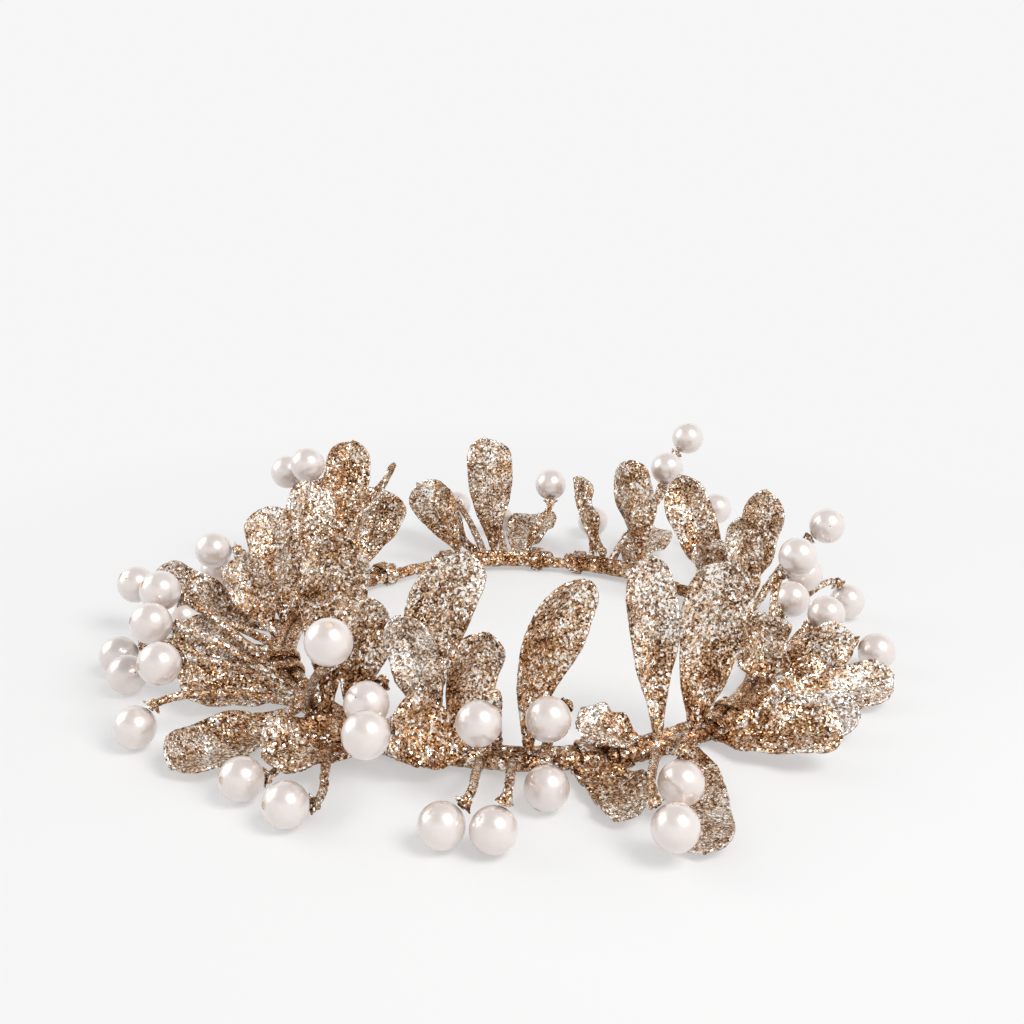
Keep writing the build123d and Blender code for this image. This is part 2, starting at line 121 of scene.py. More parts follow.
LEAVES = {
    "front": (
        LeafRow(-80.4, -74.8, 0.72, 0.085, 0.86, (-90.0, 65.0), (0.15, 0.03, 0.12)),
        LeafRow(-89.0, -77.2, -0.12, 0.93, 0.78, (-80.0, 10.0), (0.5, 0.04, 0.08)),
        LeafRow(-101.0, -112.9, 0.3, 0.31, 1.0, (-90.0, 35.0), (0.2, 0.03, 0.0)),
        LeafRow(-104.0, -99.1, -0.09, 0.66, 0.7, (-80.0, 10.0), (0.45, 0.05, 0.0)),
        LeafRow(-106.6, -116.4, 0.03, 0.73, 0.68, (-90.0, 10.0), (0.3, 0.02, 0.0)),
        LeafRow(-110.0, -106.4, -0.36, 0.97, 0.95, (-95.0, 10.0), (0.2, 0.05, 0.1)),
    ),
    "front_right": (
        LeafRow(-49.0, -40.0, 0.8, 0.2, 0.8, (-90.0, 55.0), (0.25, -0.04, 0.0)),
        LeafRow(-53.0, -45.5, 0.07, 0.96, 0.95, (-105.0, 0.0), (0.4, 0.04, 0.0)),
        LeafRow(-56.0, -69.9, 1.09, 0.055, 0.9, (-120.0, 82.0), (0.12, 0.04, 0.0)),
        LeafRow(-61.5, -56.4, -0.26, 0.96, 0.72, (-90.0, 0.0), (0.35, 0.04, 0.0)),
        LeafRow(-66.5, -78.8, 0.04, 0.23, 0.68, (-90.0, 60.0), (0.25, -0.08, 0.0)),
    ),
    "right_front": (
        LeafRow(-34.5, -29.9, 0.74, 0.13, 0.7, (-90.0, 50.0), (0.35, 0.05, 0.0)),
        LeafRow(-31.5, -15.6, 0.85, 0.14, 0.76, (-90.0, 50.0), (0.3, 0.06, 0.0)),
        LeafRow(-24.0, -20.0, 0.05, 0.47, 0.75, (-90.0, 0.0), (0.5, 0.05, 0.0)),
        LeafRow(-16.5, -13.2, 0.57, 0.34, 0.72, (-90.0, 20.0), (0.3, 0.0, 0.0)),
    ),
    "right_back": (
        LeafRow(14.0, 18.1, 0.03, 0.71, 0.6, (-90.0, 10.0), (0.35, 0.0, 0.0)),
        LeafRow(20.0, 23.0, 0.31, 0.82, 0.7, (-90.0, 10.0), (0.5, 0.0, 0.0)),
        LeafRow(22.8, 28.0, -0.11, 0.51, 0.65, (-90.0, 20.0), (0.4, 0.05, 0.0)),
        LeafRow(25.5, 41.4, -0.08, 0.83, 0.8, (-100.0, 10.0), (0.35, -0.05, 0.0)),
    ),
    "back_right": (
        LeafRow(56.0, 62.0, 0.1, 0.8, 0.85, (60.0, 20.0), (0.4, 0.0, 0.0)),
        LeafRow(62.0, 63.0, 0.85, 0.14, 0.95, (60.0, 80.0), (0.3, 0.06, 0.0)),
        LeafRow(68.0, 78.0, 0.45, 0.55, 0.85, (60.0, 40.0), (0.35, 0.05, 0.0)),
    ),
    "back": (
        LeafRow(92.0, 87.0, 0.82, 0.16, 0.95, (90.0, 80.0), (0.3, 0.06, 0.0)),
        LeafRow(98.0, 100.0, 0.12, 0.9, 0.85, (90.0, 10.0), (0.4, 0.05, 0.0)),
        LeafRow(103.0, 111.0, 0.8, 0.4, 0.9, (100.0, 60.0), (0.35, 0.05, 0.0)),
        LeafRow(108.0, 118.0, 0.1, 0.62, 0.8, (110.0, 20.0), (0.4, 0.0, 0.0)),
    ),
    "back_left": (
        LeafRow(138.0, 128.0, 0.24, 0.6, 1.15, (-90.0, 0.0), (0.3, 0.05, 0.0)),
        LeafRow(146.0, 131.5, 0.46, 0.89, 0.85, (-80.0, 0.0), (0.35, 0.0, 0.0)),
        LeafRow(152.0, 131.0, -0.07, 0.84, 0.55, (180.0, 48.0), (0.3, 0.0, 0.0)),
    ),
    "left": (
        LeafRow(164.0, 148.2, 0.26, 0.76, 0.9, (-70.0, 10.0), (0.3, 0.0, 0.0)),
        LeafRow(168.8, 160.1, 0.39, 0.67, 0.9, (-80.0, 20.0), (0.35, 0.02, 0.0)),
        LeafRow(176.0, 175.0, 0.02, 0.65, 0.5, (-60.0, 10.0), (0.5, 0.0, 0.0)),
        LeafRow(178.6, 184.0, 0.86, 0.49, 0.8, (-90.0, 45.0), (0.3, 0.05, 0.0)),
        LeafRow(182.5, 180.0, 0.35, 0.56, 0.75, (-80.0, 20.0), (0.45, 0.0, 0.0)),
    ),
    "front_left": (
        LeafRow(-156.3, -161.8, 0.74, 0.31, 1.05, (-90.0, 40.0), (0.3, 0.05, 0.0)),
        LeafRow(-149.2, -155.2, 0.73, 0.2, 0.8, (-90.0, 50.0), (0.3, 0.05, 0.0)),
        LeafRow(-142.2, -137.0, 1.07, 0.07, 1.0, (-105.0, 55.0), (0.3, 0.02, 0.0)),
        LeafRow(-135.2, -139.1, -0.09, 1.0, 1.0, (-80.0, 0.0), (0.4, 0.05, 0.0)),
        LeafRow(-123.4, -127.8, 0.75, 0.16, 0.93, (-95.0, 57.0), (0.2, -0.07, 0.0)),
        LeafRow(-128.1, -127.6, -0.07, 0.73, 0.75, (-80.0, 5.0), (0.35, 0.0, 0.0)),
    ),
}

BERRIES = {
    "front": (
        BerryRow(-83.0, -86.5, 0.48, 0.0, (0.4, 0.6, 0.7)),
        BerryRow(-86.0, -86.0, 0.3, 0.28, (0.6, 0.78, 0.1)),
        BerryRow(-92.0, -93.5, 0.9, 0.0, (0.35, 0.35, 0.87)),
        BerryRow(-95.0, -97.0, 0.44, 0.31, (0.45, 0.4, 0.8)),
        BerryRow(-98.0, -99.7, 0.9, 0.0, (0.7, 0.4, 0.6)),
    ),
    "front_right": (
        BerryRow(-58.5, -68.3, 0.69, 0.07, (0.05, 0.5, 0.86)),
        BerryRow(-64.0, -73.2, 1.06, 0.06, (-0.6, 0.5, 0.6)),
    ),
    "right_front": (
        BerryRow(-20.0, -4.0, 0.23, 0.57, (-0.6, 0.0, -0.8)),
        BerryRow(-12.5, -1.1, 0.47, 0.18, (-0.8, -0.4, -0.4)),
        BerryRow(-9.0, -4.3, 0.8, 0.0, (-0.9, 0.3, 0.3)),
        BerryRow(-5.0, 8.5, 0.32, 0.16, (-0.7, -0.6, -0.3)),
    ),
    "right_back": (
        BerryRow(8.0, 16.6, 0.9, 0.0, (-0.5, 0.0, 0.86)),
        BerryRow(11.0, 14.8, 0.5, 0.24, (-0.4, -0.3, -0.86)),
        BerryRow(17.0, 18.0, 0.71, 0.51, (-0.75, 0.1, -0.65)),
        BerryRow(28.5, 53.0, 1.07, 0.2, (-0.6, -0.6, -0.5)),
    ),
    "back_right": (
        BerryRow(59.0, 58.6, 0.98, 0.71, (-0.6, -0.3, -0.75)),
        BerryRow(65.0, 56.0, 0.42, 0.62, (-0.1, -0.4, -0.9)),
        BerryRow(71.0, 76.0, 0.9, 0.0, (-0.2, -0.8, 0.55)),
    ),
    "back": (
        BerryRow(89.0, 84.0, 0.55, 0.36, (0.0, -0.7, -0.7)),
        BerryRow(95.0, 95.0, 0.85, 0.0, (-0.1, -0.8, 0.6)),
        BerryRow(100.5, 103.0, 0.95, 0.08, (0.1, -0.9, 0.4)),
    ),
    "back_left": (
        BerryRow(134.0, 134.0, 0.9, 0.0, (0.2, -0.85, 0.5)),
        BerryRow(142.0, 142.0, 0.73, 0.6, (0.6, -0.2, -0.77)),
        BerryRow(149.0, 145.0, 0.4, 0.73, (0.5, 0.0, -0.86)),
    ),
    "left": (
        BerryRow(166.4, 165.0, 0.7, 0.16, (0.95, -0.1, -0.2)),
        BerryRow(171.2, 169.5, 0.64, 0.36, (0.98, 0.1, 0.0)),
        BerryRow(173.6, 176.0, 1.1, 0.2, (0.75, 0.3, -0.6)),
        BerryRow(185.5, 190.6, 0.67, 0.21, (0.95, 0.2, -0.2)),
        BerryRow(188.3, 190.5, 1.08, 0.0, (0.9, 0.3, 0.3)),
        BerryRow(190.8, 197.0, 1.02, 0.0, (0.9, 0.35, 0.25)),
    ),
    "front_left": (
        BerryRow(-153.9, -162.0, 0.79, 0.49, (0.75, 0.4, -0.5)),
        BerryRow(-151.6, -156.0, 0.88, 0.4, (0.85, 0.4, -0.3)),
        BerryRow(-146.9, -146.5, 0.94, 0.33, (0.8, 0.6, -0.1)),
        BerryRow(-144.5, -147.0, 1.1, 0.0, (0.6, 0.4, 0.7)),
        BerryRow(-139.9, -115.5, 0.78, 0.76, (-0.1, 0.35, -0.93)),
        BerryRow(-137.5, -127.0, 0.95, 0.0, (0.7, 0.6, -0.27)),
        BerryRow(-130.4, -118.6, 1.01, 0.0, (0.8, 0.5, -0.25)),
        BerryRow(-125.8, -115.0, 0.46, 0.33, (0.45, 0.75, 0.45)),
        BerryRow(-121.0, -109.0, 0.9, 0.4, (0.9, 0.4, 0.0)),
    ),
}

FULLER_BASES = {
    ("front", 0): 0.15, ("front", 2): 0.3, ("front_right", 0): 0.35, ("front_right", 1): 0.1,
    ("front_right", 2): 0.35, ("front_right", 4): 0.3, ("right_front", 0): 0.5, ("right_front", 1): 0.6,
    ("right_front", 2): 0.6, ("right_front", 3): 0.4, ("front_left", 0): 0.2, ("front_left", 1): 0.2,
    ("front_left", 4): 0.3,
}

# Painted light and shade of each leaf: above nought paler and more silver, as if lit; below nought deeper
# bronze, as if in shade.
LEAF_PAINTED_LIGHT = {
    ("front", 1): -0.2, ("front", 2): -0.35, ("front", 4): 0.4, ("front", 5): 0.15,
    ("front_right", 0): -0.3, ("front_right", 1): 0.1, ("front_right", 2): 0.3, ("front_right", 3): 0.3,
    ("front_right", 4): 0.3, ("right_front", 0): 0.7, ("right_front", 1): 0.3, ("back_left", 0): -0.2,
    ("back_left", 1): -0.35, ("back_left", 2): -0.3, ("left", 3): 0.4, ("front_left", 2): 0.1,
    ("front_left", 3): -0.2, ("front_left", 4): -0.2,
}


class Tone(Enum):
    """The shades of glitter on the ring: its depth of bronze and the share of painted glints and painted dark
    reflections.
    """

    LEAF = (0.1, 1.0)
    TWIG = (0.5, 1.0)
    STEM = (0.75, 0.97)
    WRAP = (0.8, 0.95)


def square_to(direction: Vector, axis: Vector) -> Vector:
    """The part of a direction that is square to a unit axis, as a unit vector."""
    return (direction - axis * direction.dot(axis)).normalized()


@dataclass(frozen=True)
class RingSizes:
    """Sizes of the hoop and the stems, and how far the sprays reach, in metres."""

    hoop_radius: float = 0.062
    sleeve_radius: float = 0.0017
    stem_radius: float = 0.0021
    stem_offset: float = 0.0039
    stem_end: float = 0.0046
    run_height: float = 0.00272
    peg_radius: float = 0.0007
    peg_rise: float = 0.0013
    reach: float = 0.040
    height: float = 0.045

    @property
    def stem_run(self) -> float:
        """Radius of the circle that the stems follow."""
        return self.hoop_radius + self.stem_offset

    def polar(self, angle: float, radius: float, height: float) -> Vector:
        """A point at an angle round the hoop, in degrees."""
        turn = math.radians(angle)
        return Vector((radius * math.cos(turn), radius * math.sin(turn), height))

    def tangent(self, angle: float) -> Vector:
        """The direction that runs round the hoop at an angle."""
        turn = math.radians(angle)
        return Vector((-math.sin(turn), math.cos(turn), 0.0))

    def socket_line(self, angle: float, target: Vector) -> tuple[Vector, Vector]:
        """Where a socket lies on its stem, and its direction towards a target.

        Args:
            angle: The angle of the socket round the hoop, in degrees.
            target: The point that the peg in the socket leans towards.

        Returns:
            The centre of the stem at the socket, and the unit direction out of it.
        """
        centre = self.polar(angle, self.stem_run, self.run_height)
        return centre, square_to(target - centre, self.tangent(angle))

    def stem_span(self, spray: str) -> tuple[float, float]:
        """The angles at which the CAD stem of a spray starts and ends.

        Args:
            spray: The name of the spray.

        Returns:
            The two angles round the hoop, in degrees.
        """
        angles = [row.socket for row in (*LEAVES[spray], *BERRIES[spray])]
        past = math.degrees((self.stem_end + 2 * self.peg_radius) / self.stem_run)
        return min(angles) - past, max(angles) + past


class Bench:
    """The working steps that every piece needs, as taken by hand in the viewport."""

    @staticmethod
    def clear() -> None:
        """Leave edit mode and select nothing."""
        active = bpy.context.view_layer.objects.active
        if active is not None and active.mode != "OBJECT":
            bpy.ops.object.mode_set(mode="OBJECT")
        bpy.ops.object.select_all(action="DESELECT")

    @staticmethod
    def take(*pieces: Piece) -> None:
        """Select these pieces alone and make the last of them active.

        Args:
            pieces: The pieces to select.
        """
        Bench.clear()
        for piece in pieces:
            piece.select_set(True)
        bpy.context.view_layer.objects.active = pieces[-1]

    @staticmethod
    def copy(piece: Piece, name: str) -> Piece:
        """Duplicate a piece with a mesh of its own.

        Args:
            piece: The piece to duplicate.
            name: The name of the copy.

        Returns:
            The copy.
        """
        Bench.take(piece)
        bpy.ops.object.duplicate(linked=False)
        copy = bpy.context.view_layer.objects.active
        copy.name = name
        copy.parent = None
        return copy

    @staticmethod
    def fix(piece: Piece) -> None:
        """Move the place and turn of a piece into its vertices."""
        Bench.take(piece)
        bpy.ops.object.transform_apply(location=True, rotation=True, scale=True)

    @staticmethod
    def join(pieces: list[Piece], name: str) -> Piece:
        """Join pieces into one mesh that keeps its place in its vertices.

        Args:
            pieces: The pieces to join.
            name: The name of the joined piece.

        Returns:
            The joined piece.
        """
        Bench.take(*pieces)
        if len(pieces) > 1:
            bpy.ops.object.join()
        joined = bpy.context.view_layer.objects.active
        joined.name = name
        Bench.fix(joined)
        return joined

    @staticmethod
    def edit(piece: Piece, select: str = "SELECT") -> None:
        """Open a piece in edit mode, in which its vertices are picked.

        Args:
            piece: The piece to open.
            select: "SELECT" to start with all of it selected, or "DESELECT" with none.
        """
        Bench.take(piece)
        bpy.ops.object.mode_set(mode="EDIT")
        bpy.ops.mesh.select_mode(type="VERT")
        bpy.ops.mesh.select_all(action=select)

    @staticmethod
    def pick(piece: Piece, kind: str, chosen: Callable[[Vector], bool]) -> None:
        """Select the vertices or faces of a piece by a test on their place.

        Args:
            piece: The piece, in edit mode.
            kind: "VERT" or "FACE".
            chosen: A test that is given a vertex, or the centre of a face.
        """
        bpy.ops.mesh.select_mode(type=kind)
        bpy.ops.mesh.select_all(action="DESELECT")
        bpy.ops.object.mode_set(mode="OBJECT")
        if kind == "VERT":
            for vertex in piece.data.vertices:
                vertex.select = bool(chosen(vertex.co))
        else:
            for face in piece.data.polygons:
                face.select = bool(chosen(face.center))
        bpy.ops.object.mode_set(mode="EDIT")

    @staticmethod
    def modify(piece: Piece, kind: str, **values: object) -> None:
        """Add one modifier and apply it at once.

        Args:
            piece: The piece to change.
            kind: The modifier's type name.
            values: The modifier's own properties.
        """
        Bench.take(piece)
        modifier = piece.modifiers.new(kind.lower(), kind)
        for key, value in values.items():
            setattr(modifier, key, value)
        bpy.ops.object.modifier_apply(modifier=modifier.name)

    @staticmethod
    def roughen(piece: Piece, grain: bpy.types.Texture, depth: float) -> None:
        """Push the surface in and out along its normals, as a coat of glitter does.

        Args:
            piece: The piece to roughen.
            grain: The texture that says where.
            depth: How far apart the highest and the lowest points end.
        """
        Bench.modify(piece, "DISPLACE", texture=grain, strength=depth, mid_level=0.5, texture_coords="LOCAL")

    @staticmethod
    def close(piece: Piece) -> None:
        """Turn all faces outwards and shade them smooth.

        Args:
            piece: The piece to finish.
        """
        Bench.edit(piece)
        bpy.ops.mesh.normals_make_consistent(inside=False)
        bpy.ops.object.mode_set(mode="OBJECT")
        bpy.ops.object.shade_smooth()

    @staticmethod
    def bar(route: list[Vector], shares: list[float], radius: float, steps: int, rounding: int) -> Piece:
        """Draw a round bar through points as a curve, and turn it into a mesh.

        Args:
            route: The points that it runs through, at least five.
            shares: Its radius at each point, as a share of the full one.
            radius: Its full radius.
            steps: The number of rings on each stretch.
            rounding: How finely its section is rounded.

        Returns:
            The bar.
        """
        Bench.clear()
        bpy.ops.curve.primitive_nurbs_path_add()
        curve = bpy.context.active_object
        spline = curve.data.splines[0]
        spline.points.add(len(route) - len(spline.points))
        for point, spot, share in zip(spline.points, route, shares):
            point.co = (*spot, 1.0)
            point.radius = share
        spline.order_u = 3
        spline.use_endpoint_u = True
        curve.data.resolution_u = steps
        curve.data.bevel_depth = radius
        curve.data.bevel_resolution = rounding
        curve.data.use_fill_caps = True
        Bench.take(curve)
        bpy.ops.object.convert(target="MESH")
        return bpy.context.active_object


class Nodes:
    """A short way to place and wire nodes in one tree."""

    def __init__(self, tree: bpy.types.NodeTree) -> None:
        """Work on this tree."""
        self.tree = tree

    @classmethod
    def of(cls, owner: bpy.types.Material | bpy.types.World) -> "Nodes":
        """Empty the tree of a material or a world, and work on it.

        Args:
            owner: The material or the world.

        Returns:
            The helper that works on its tree.
        """
        owner.use_nodes = True
        owner.node_tree.nodes.clear()
        return cls(owner.node_tree)

    def feed(self, socket: Socket, value: object) -> None:
        """Link an input to another node's output, or give it a constant value.

        Args:
            socket: The input.
            value: An output socket, or a constant.
        """
        if isinstance(value, Socket):
            self.tree.links.new(value, socket)
        else:
            socket.default_value = value

    def add(self, kind: str, inputs: dict | None = None, **settings: object) -> bpy.types.Node:
        """Add a node.

        Args:
            kind: The node's type name.
            inputs: Values or sockets for its inputs, by name or number.
            settings: Its own properties.

        Returns:
            The new node.
        """
        node = self.tree.nodes.new(kind)
        for key, value in settings.items():
            setattr(node, key, value)
        for key, value in (inputs or {}).items():
            self.feed(node.inputs[key], value)
        return node

    def math(self, operation: str, first: Socket | float, second: Socket | float = 0.0) -> Socket:
        """A Math node's result."""
        return self.add("ShaderNodeMath", {0: first, 1: second}, operation=operation).outputs[0]

    def times(self, first: Socket | float, second: Socket | float) -> Socket:
        """The product of two values."""
        return self.math("MULTIPLY", first, second)

    def plus(self, first: Socket | float, second: Socket | float) -> Socket:
        """The sum of two values."""
        return self.math("ADD", first, second)

    def above(self, value: Socket, limit: float) -> Socket:
        """One where a value is above a limit, and nought elsewhere."""
        return self.math("GREATER_THAN", value, limit)

    def blend(
        self, share: Socket | float, low: Socket | Colour, high: Socket | Colour, mode: str = "MIX"
    ) -> Socket:
        """A colour mixed from two others.

        Args:
            share: The share of the second colour.
            low: The first colour.
            high: The second colour.
            mode: How the two are mixed.

        Returns:
            The mixed colour.
        """
        node = self.add("ShaderNodeMix", data_type="RGBA", blend_type=mode, clamp_factor=True)
        for number, value in ((0, share), (6, low), (7, high)):
            self.feed(node.inputs[number], value)
        return node.outputs[2]

    def ramp(self, share: Socket, stops: tuple[tuple[float, Colour], ...]) -> Socket:
        """A colour ramp.

        Args:
            share: The place on the ramp.
            stops: The place and the colour of each stop.

        Returns:
            The colour at that place.
        """
        node = self.add("ShaderNodeValToRGB", {0: share})
        points = node.color_ramp.elements
        while len(points) < len(stops):
            points.new(0.5)
        for point, (place, colour) in zip(points, stops):
            point.position = place
            point.color = colour
        return node.outputs[0]

    def span(self, value: Socket, low: float, high: float, out_low: float, out_high: float) -> Socket:
        """A value carried from one range to another."""
        return self.add("ShaderNodeMapRange", {0: value, 1: low, 2: high, 3: out_low, 4: out_high}).outputs[0]

    def place(self) -> Socket:
        """The place of each point in its piece's own coordinates."""
        return self.add("ShaderNodeTexCoord").outputs["Object"]

    def cells(self, place: Socket, scale: Socket | float) -> Sockets:
        """The outputs of a coat of cells, each with a colour of its own."""
        return self.add("ShaderNodeTexVoronoi", {"Vector": place, "Scale": scale, "Randomness": 1.0}).outputs

    def cloud(self, place: Socket, scale: float, detail: float = 3.0, roughness: float = 0.5) -> Socket:
        """A soft cloudy value."""
        values = {"Vector": place, "Scale": scale, "Detail": detail, "Roughness": roughness}
        return self.add("ShaderNodeTexNoise", values).outputs[0]

    def dice(self, colour: Socket) -> Sockets:
        """The three numbers between nought and one that a cell's colour stands for."""
        return self.add("ShaderNodeSeparateColor", {0: colour}).outputs

    def seen(self) -> Socket:
        """One for the rays that come from the camera, a mirror or glass."""
        path = self.add("ShaderNodeLightPath").outputs
        mirrored = self.math("MAXIMUM", path["Is Glossy Ray"], path["Is Transmission Ray"])
        return self.math("MAXIMUM", path["Is Camera Ray"], mirrored)

    def surface(self, values: dict) -> None:
        """Wire a Principled shader with these inputs to the output of a material.

        Args:
            values: Values or sockets for the shader's inputs, by name.
        """
        shader = self.add("ShaderNodeBsdfPrincipled", values)
        self.add("ShaderNodeOutputMaterial", {0: shader.outputs[0]})


@dataclass(frozen=True)
class FlakeGroup:
    """The node group behind every glittered finish: a packed coat of small tilted flakes.

    Each flake has a shade, a gloss and a lean of its own. Flakes gather in larger chips: the bright ones
    are white mirror flakes that paint glints, the dark ones paint shadow between flakes. Soft patches paint
    light and shade: wide areas paler or deeper, and patches of painted dark reflection.
    """

    name: str = "glitter_flakes"
    chip_scale: float = 0.55
    # Soft patches of painted light and shade, which also gather the painted glints and painted dark
    # reflections.
    patch_scale: float = 150.0
    patch_detail: float = 2.0
    patch_roughness: float = 0.55
    patch_limits: tuple[float, float] = (0.3, 0.7)
    flake_share: float = 0.72
    chip_share: float = 0.28
    light_and_shade_patch_share: float = 0.4
    bronze_and_light_depth: float = 0.13
    champagne: tuple[tuple[float, Colour], ...] = (
        (0.0, (0.03, 0.009, 0.002, 1.0)),
        (0.14, (0.13, 0.046, 0.013, 1.0)),
        (0.33, (0.36, 0.187, 0.084, 1.0)),
        (0.50, (0.57, 0.362, 0.200, 1.0)),
        (0.67, (0.78, 0.595, 0.430, 1.0)),
        (0.81, (0.98, 0.925, 0.855, 1.0)),
        (1.0, (1.0, 1.0, 0.99, 1.0)),
    )
    # Copper of stems and twigs; at leaf roots it is also painted warm reflected light.
    copper_and_warm_light_tint: Colour = (1.0, 0.80, 0.59, 1.0)
    # Painted highlight: a paler, less saturated copy of the coat on leaf tips and on the paler leaves.
    painted_highlight_saturation: float = 0.55
    painted_highlight_value: float = 1.12
    painted_highlight_gain: float = -1.2
    # Painted dark reflection: grey-green patches that stand in for flakes reflecting a dark room.
    painted_dark_reflection_colour: Colour = (0.17, 0.135, 0.075, 1.0)
    dark_reflection_limits: tuple[float, float] = (0.58, 0.72)
    dark_reflection_share: float = 0.8
    dark_reflection_dice: float = 0.5
    # Painted shadow between flakes: dark brown chips.
    painted_shadow_colour: Colour = (0.07, 0.026, 0.008, 1.0)
    painted_shadow_dice: float = 0.87
    painted_shadow_share: float = 0.62
    # Painted glints: white mirror flakes gathered by the soft patches, bright whether they are lit or in
    # shade.
    painted_glint_colour: Colour = (1.0, 0.985, 0.95, 1.0)
    glint_patch_share: float = 0.3
    bright_dice: float = 0.83
    gloss_power: float = 1.6
    bright_gloss: float = 0.9
    roughness_limits: tuple[float, float] = (0.13, 0.5)
    metal_limits: tuple[float, float] = (0.35, 0.9)

    def tree(self) -> bpy.types.NodeTree:
        """The group, built the first time that it is asked for."""
        found = bpy.data.node_groups.get(self.name)
        return found if found is not None else self._build()

    def _build(self) -> bpy.types.NodeTree:
        """Make the group with its inputs and outputs.

        Returns:
            The new group.
        """
        tree = bpy.data.node_groups.new(self.name, "ShaderNodeTree")
        numbers = (("Flakes per metre", 2700.0), ("Tilt", 1.0), ("Bronze and painted light", 0.0), ("Bright share", 1.0))
        for name, value in numbers:
            made = tree.interface.new_socket(name, in_out="INPUT", socket_type="NodeSocketFloat")
            made.default_value = value
        kinds = (("Colour", "Color"), ("Roughness", "Float"), ("Metallic", "Float"), ("Normal", "Vector"))
        for name, kind in kinds:
            tree.interface.new_socket(name, in_out="OUTPUT", socket_type=f"NodeSocket{kind}")
        n = Nodes(tree)
        given = n.add("NodeGroupInput").outputs
        place = n.place()
        flakes = n.cells(place, given["Flakes per metre"])["Color"]
        chips = n.cells(place, n.times(given["Flakes per metre"], self.chip_scale))["Color"]
        patches = n.cloud(place, self.patch_scale, self.patch_detail, self.patch_roughness)
        flake, chip = n.dice(flakes), n.dice(chips)
        patch = n.span(patches, *self.patch_limits, -0.5, 0.5)
        colour = self._colour(n, given, flake, chip, patch, patches)
        # Painted glints: chips picked by the soft patches become white mirror flakes.
        gather = n.plus(n.times(chip[1], given["Bright share"]), n.times(patch, self.glint_patch_share))
        painted_glint = n.above(gather, self.bright_dice)
        polish = n.math("SUBTRACT", 1.0, n.times(painted_glint, self.bright_gloss))
        gloss = n.times(n.math("POWER", flake[2], self.gloss_power), polish)
        out = n.add("NodeGroupOutput").inputs
        n.feed(out["Colour"], n.blend(painted_glint, colour, self.painted_glint_colour))
        n.feed(out["Roughness"], n.span(gloss, 0.0, 1.0, *self.roughness_limits))
        n.feed(out["Metallic"], n.math("MAXIMUM", n.span(flake[1], 0.0, 1.0, *self.metal_limits), painted_glint))
        n.feed(out["Normal"], self._facing(n, flakes, given["Tilt"]))
        return tree

    def _colour(
        self, n: Nodes, given: Sockets, flake: Sockets, chip: Sockets, patch: Socket, patches: Socket
    ) -> Socket:
        """The colour of the coat without its painted glints.

        Args:
            n: The nodes of the group.
            given: The inputs of the group.
            flake: The three numbers of each flake.
            chip: The three numbers of each chip.
            patch: The soft patches of painted light and shade, from -0.5 to 0.5.
            patches: The soft patches of painted light and shade as they come.

        Returns:
            The colour.
        """
        bronze_and_painted_light = given["Bronze and painted light"]
        shade = n.plus(n.times(flake[0], self.flake_share), n.times(chip[0], self.chip_share))
        # Soft patches make wide areas paler or deeper: painted light and shade in clusters.
        shade = n.plus(shade, n.times(patch, self.light_and_shade_patch_share))
        # Bronze above nought darkens the shade, which at leaf roots is painted shade; below nought it pales
        # it as painted light.
        shade = n.math("SUBTRACT", shade, n.times(bronze_and_painted_light, self.bronze_and_light_depth))
        champagne = n.ramp(shade, self.champagne)
        # Copper tint: the copper of stems and twigs, and at leaf roots painted warm reflected light.
        copper_and_warm_light = n.blend(1.0, champagne, self.copper_and_warm_light_tint, "MULTIPLY")
        # Painted highlight: the coat made paler and greyer.
        values = {"Saturation": self.painted_highlight_saturation, "Value": self.painted_highlight_value, "Color": champagne}
        painted_highlight = n.add("ShaderNodeHueSaturation", values).outputs[0]
        colour = n.blend(bronze_and_painted_light, champagne, copper_and_warm_light)
        colour = n.blend(n.times(bronze_and_painted_light, self.painted_highlight_gain), colour, painted_highlight)
        # Painted dark reflection: grey-green patches laid over the coat.
        painted_dark_reflection = n.span(patches, *self.dark_reflection_limits, 0.0, self.dark_reflection_share)
        painted_dark_reflection = n.times(painted_dark_reflection, n.above(flake[1], self.dark_reflection_dice))
        colour = n.blend(n.times(painted_dark_reflection, given["Bright share"]), colour, self.painted_dark_reflection_colour)
        # Painted shadow between flakes.
        return n.blend(n.times(n.above(chip[2], self.painted_shadow_dice), self.painted_shadow_share), colour, self.painted_shadow_colour)

    @staticmethod
    def _facing(n: Nodes, flakes: Socket, tilt: Socket) -> Socket:
        """The way that each flake faces.

        Args:
            n: The nodes of the group.
            flakes: The colour of each flake.
            tilt: How far the flakes lean.

        Returns:
            The normal of the coat.
        """
        normal = n.add("ShaderNodeNewGeometry").outputs["Normal"]
        jitter = n.add("ShaderNodeVectorMath", {0: flakes, 1: (0.5, 0.5, 0.5)}, operation="SUBTRACT")
        lean = n.add("ShaderNodeVectorMath", {0: jitter.outputs[0], "Scale": tilt}, operation="SCALE")
        tilted = n.add("ShaderNodeVectorMath", {0: normal, 1: lean.outputs[0]}, operation="ADD")
        return n.add("ShaderNodeVectorMath", {0: tilted.outputs[0]}, operation="NORMALIZE").outputs[0]


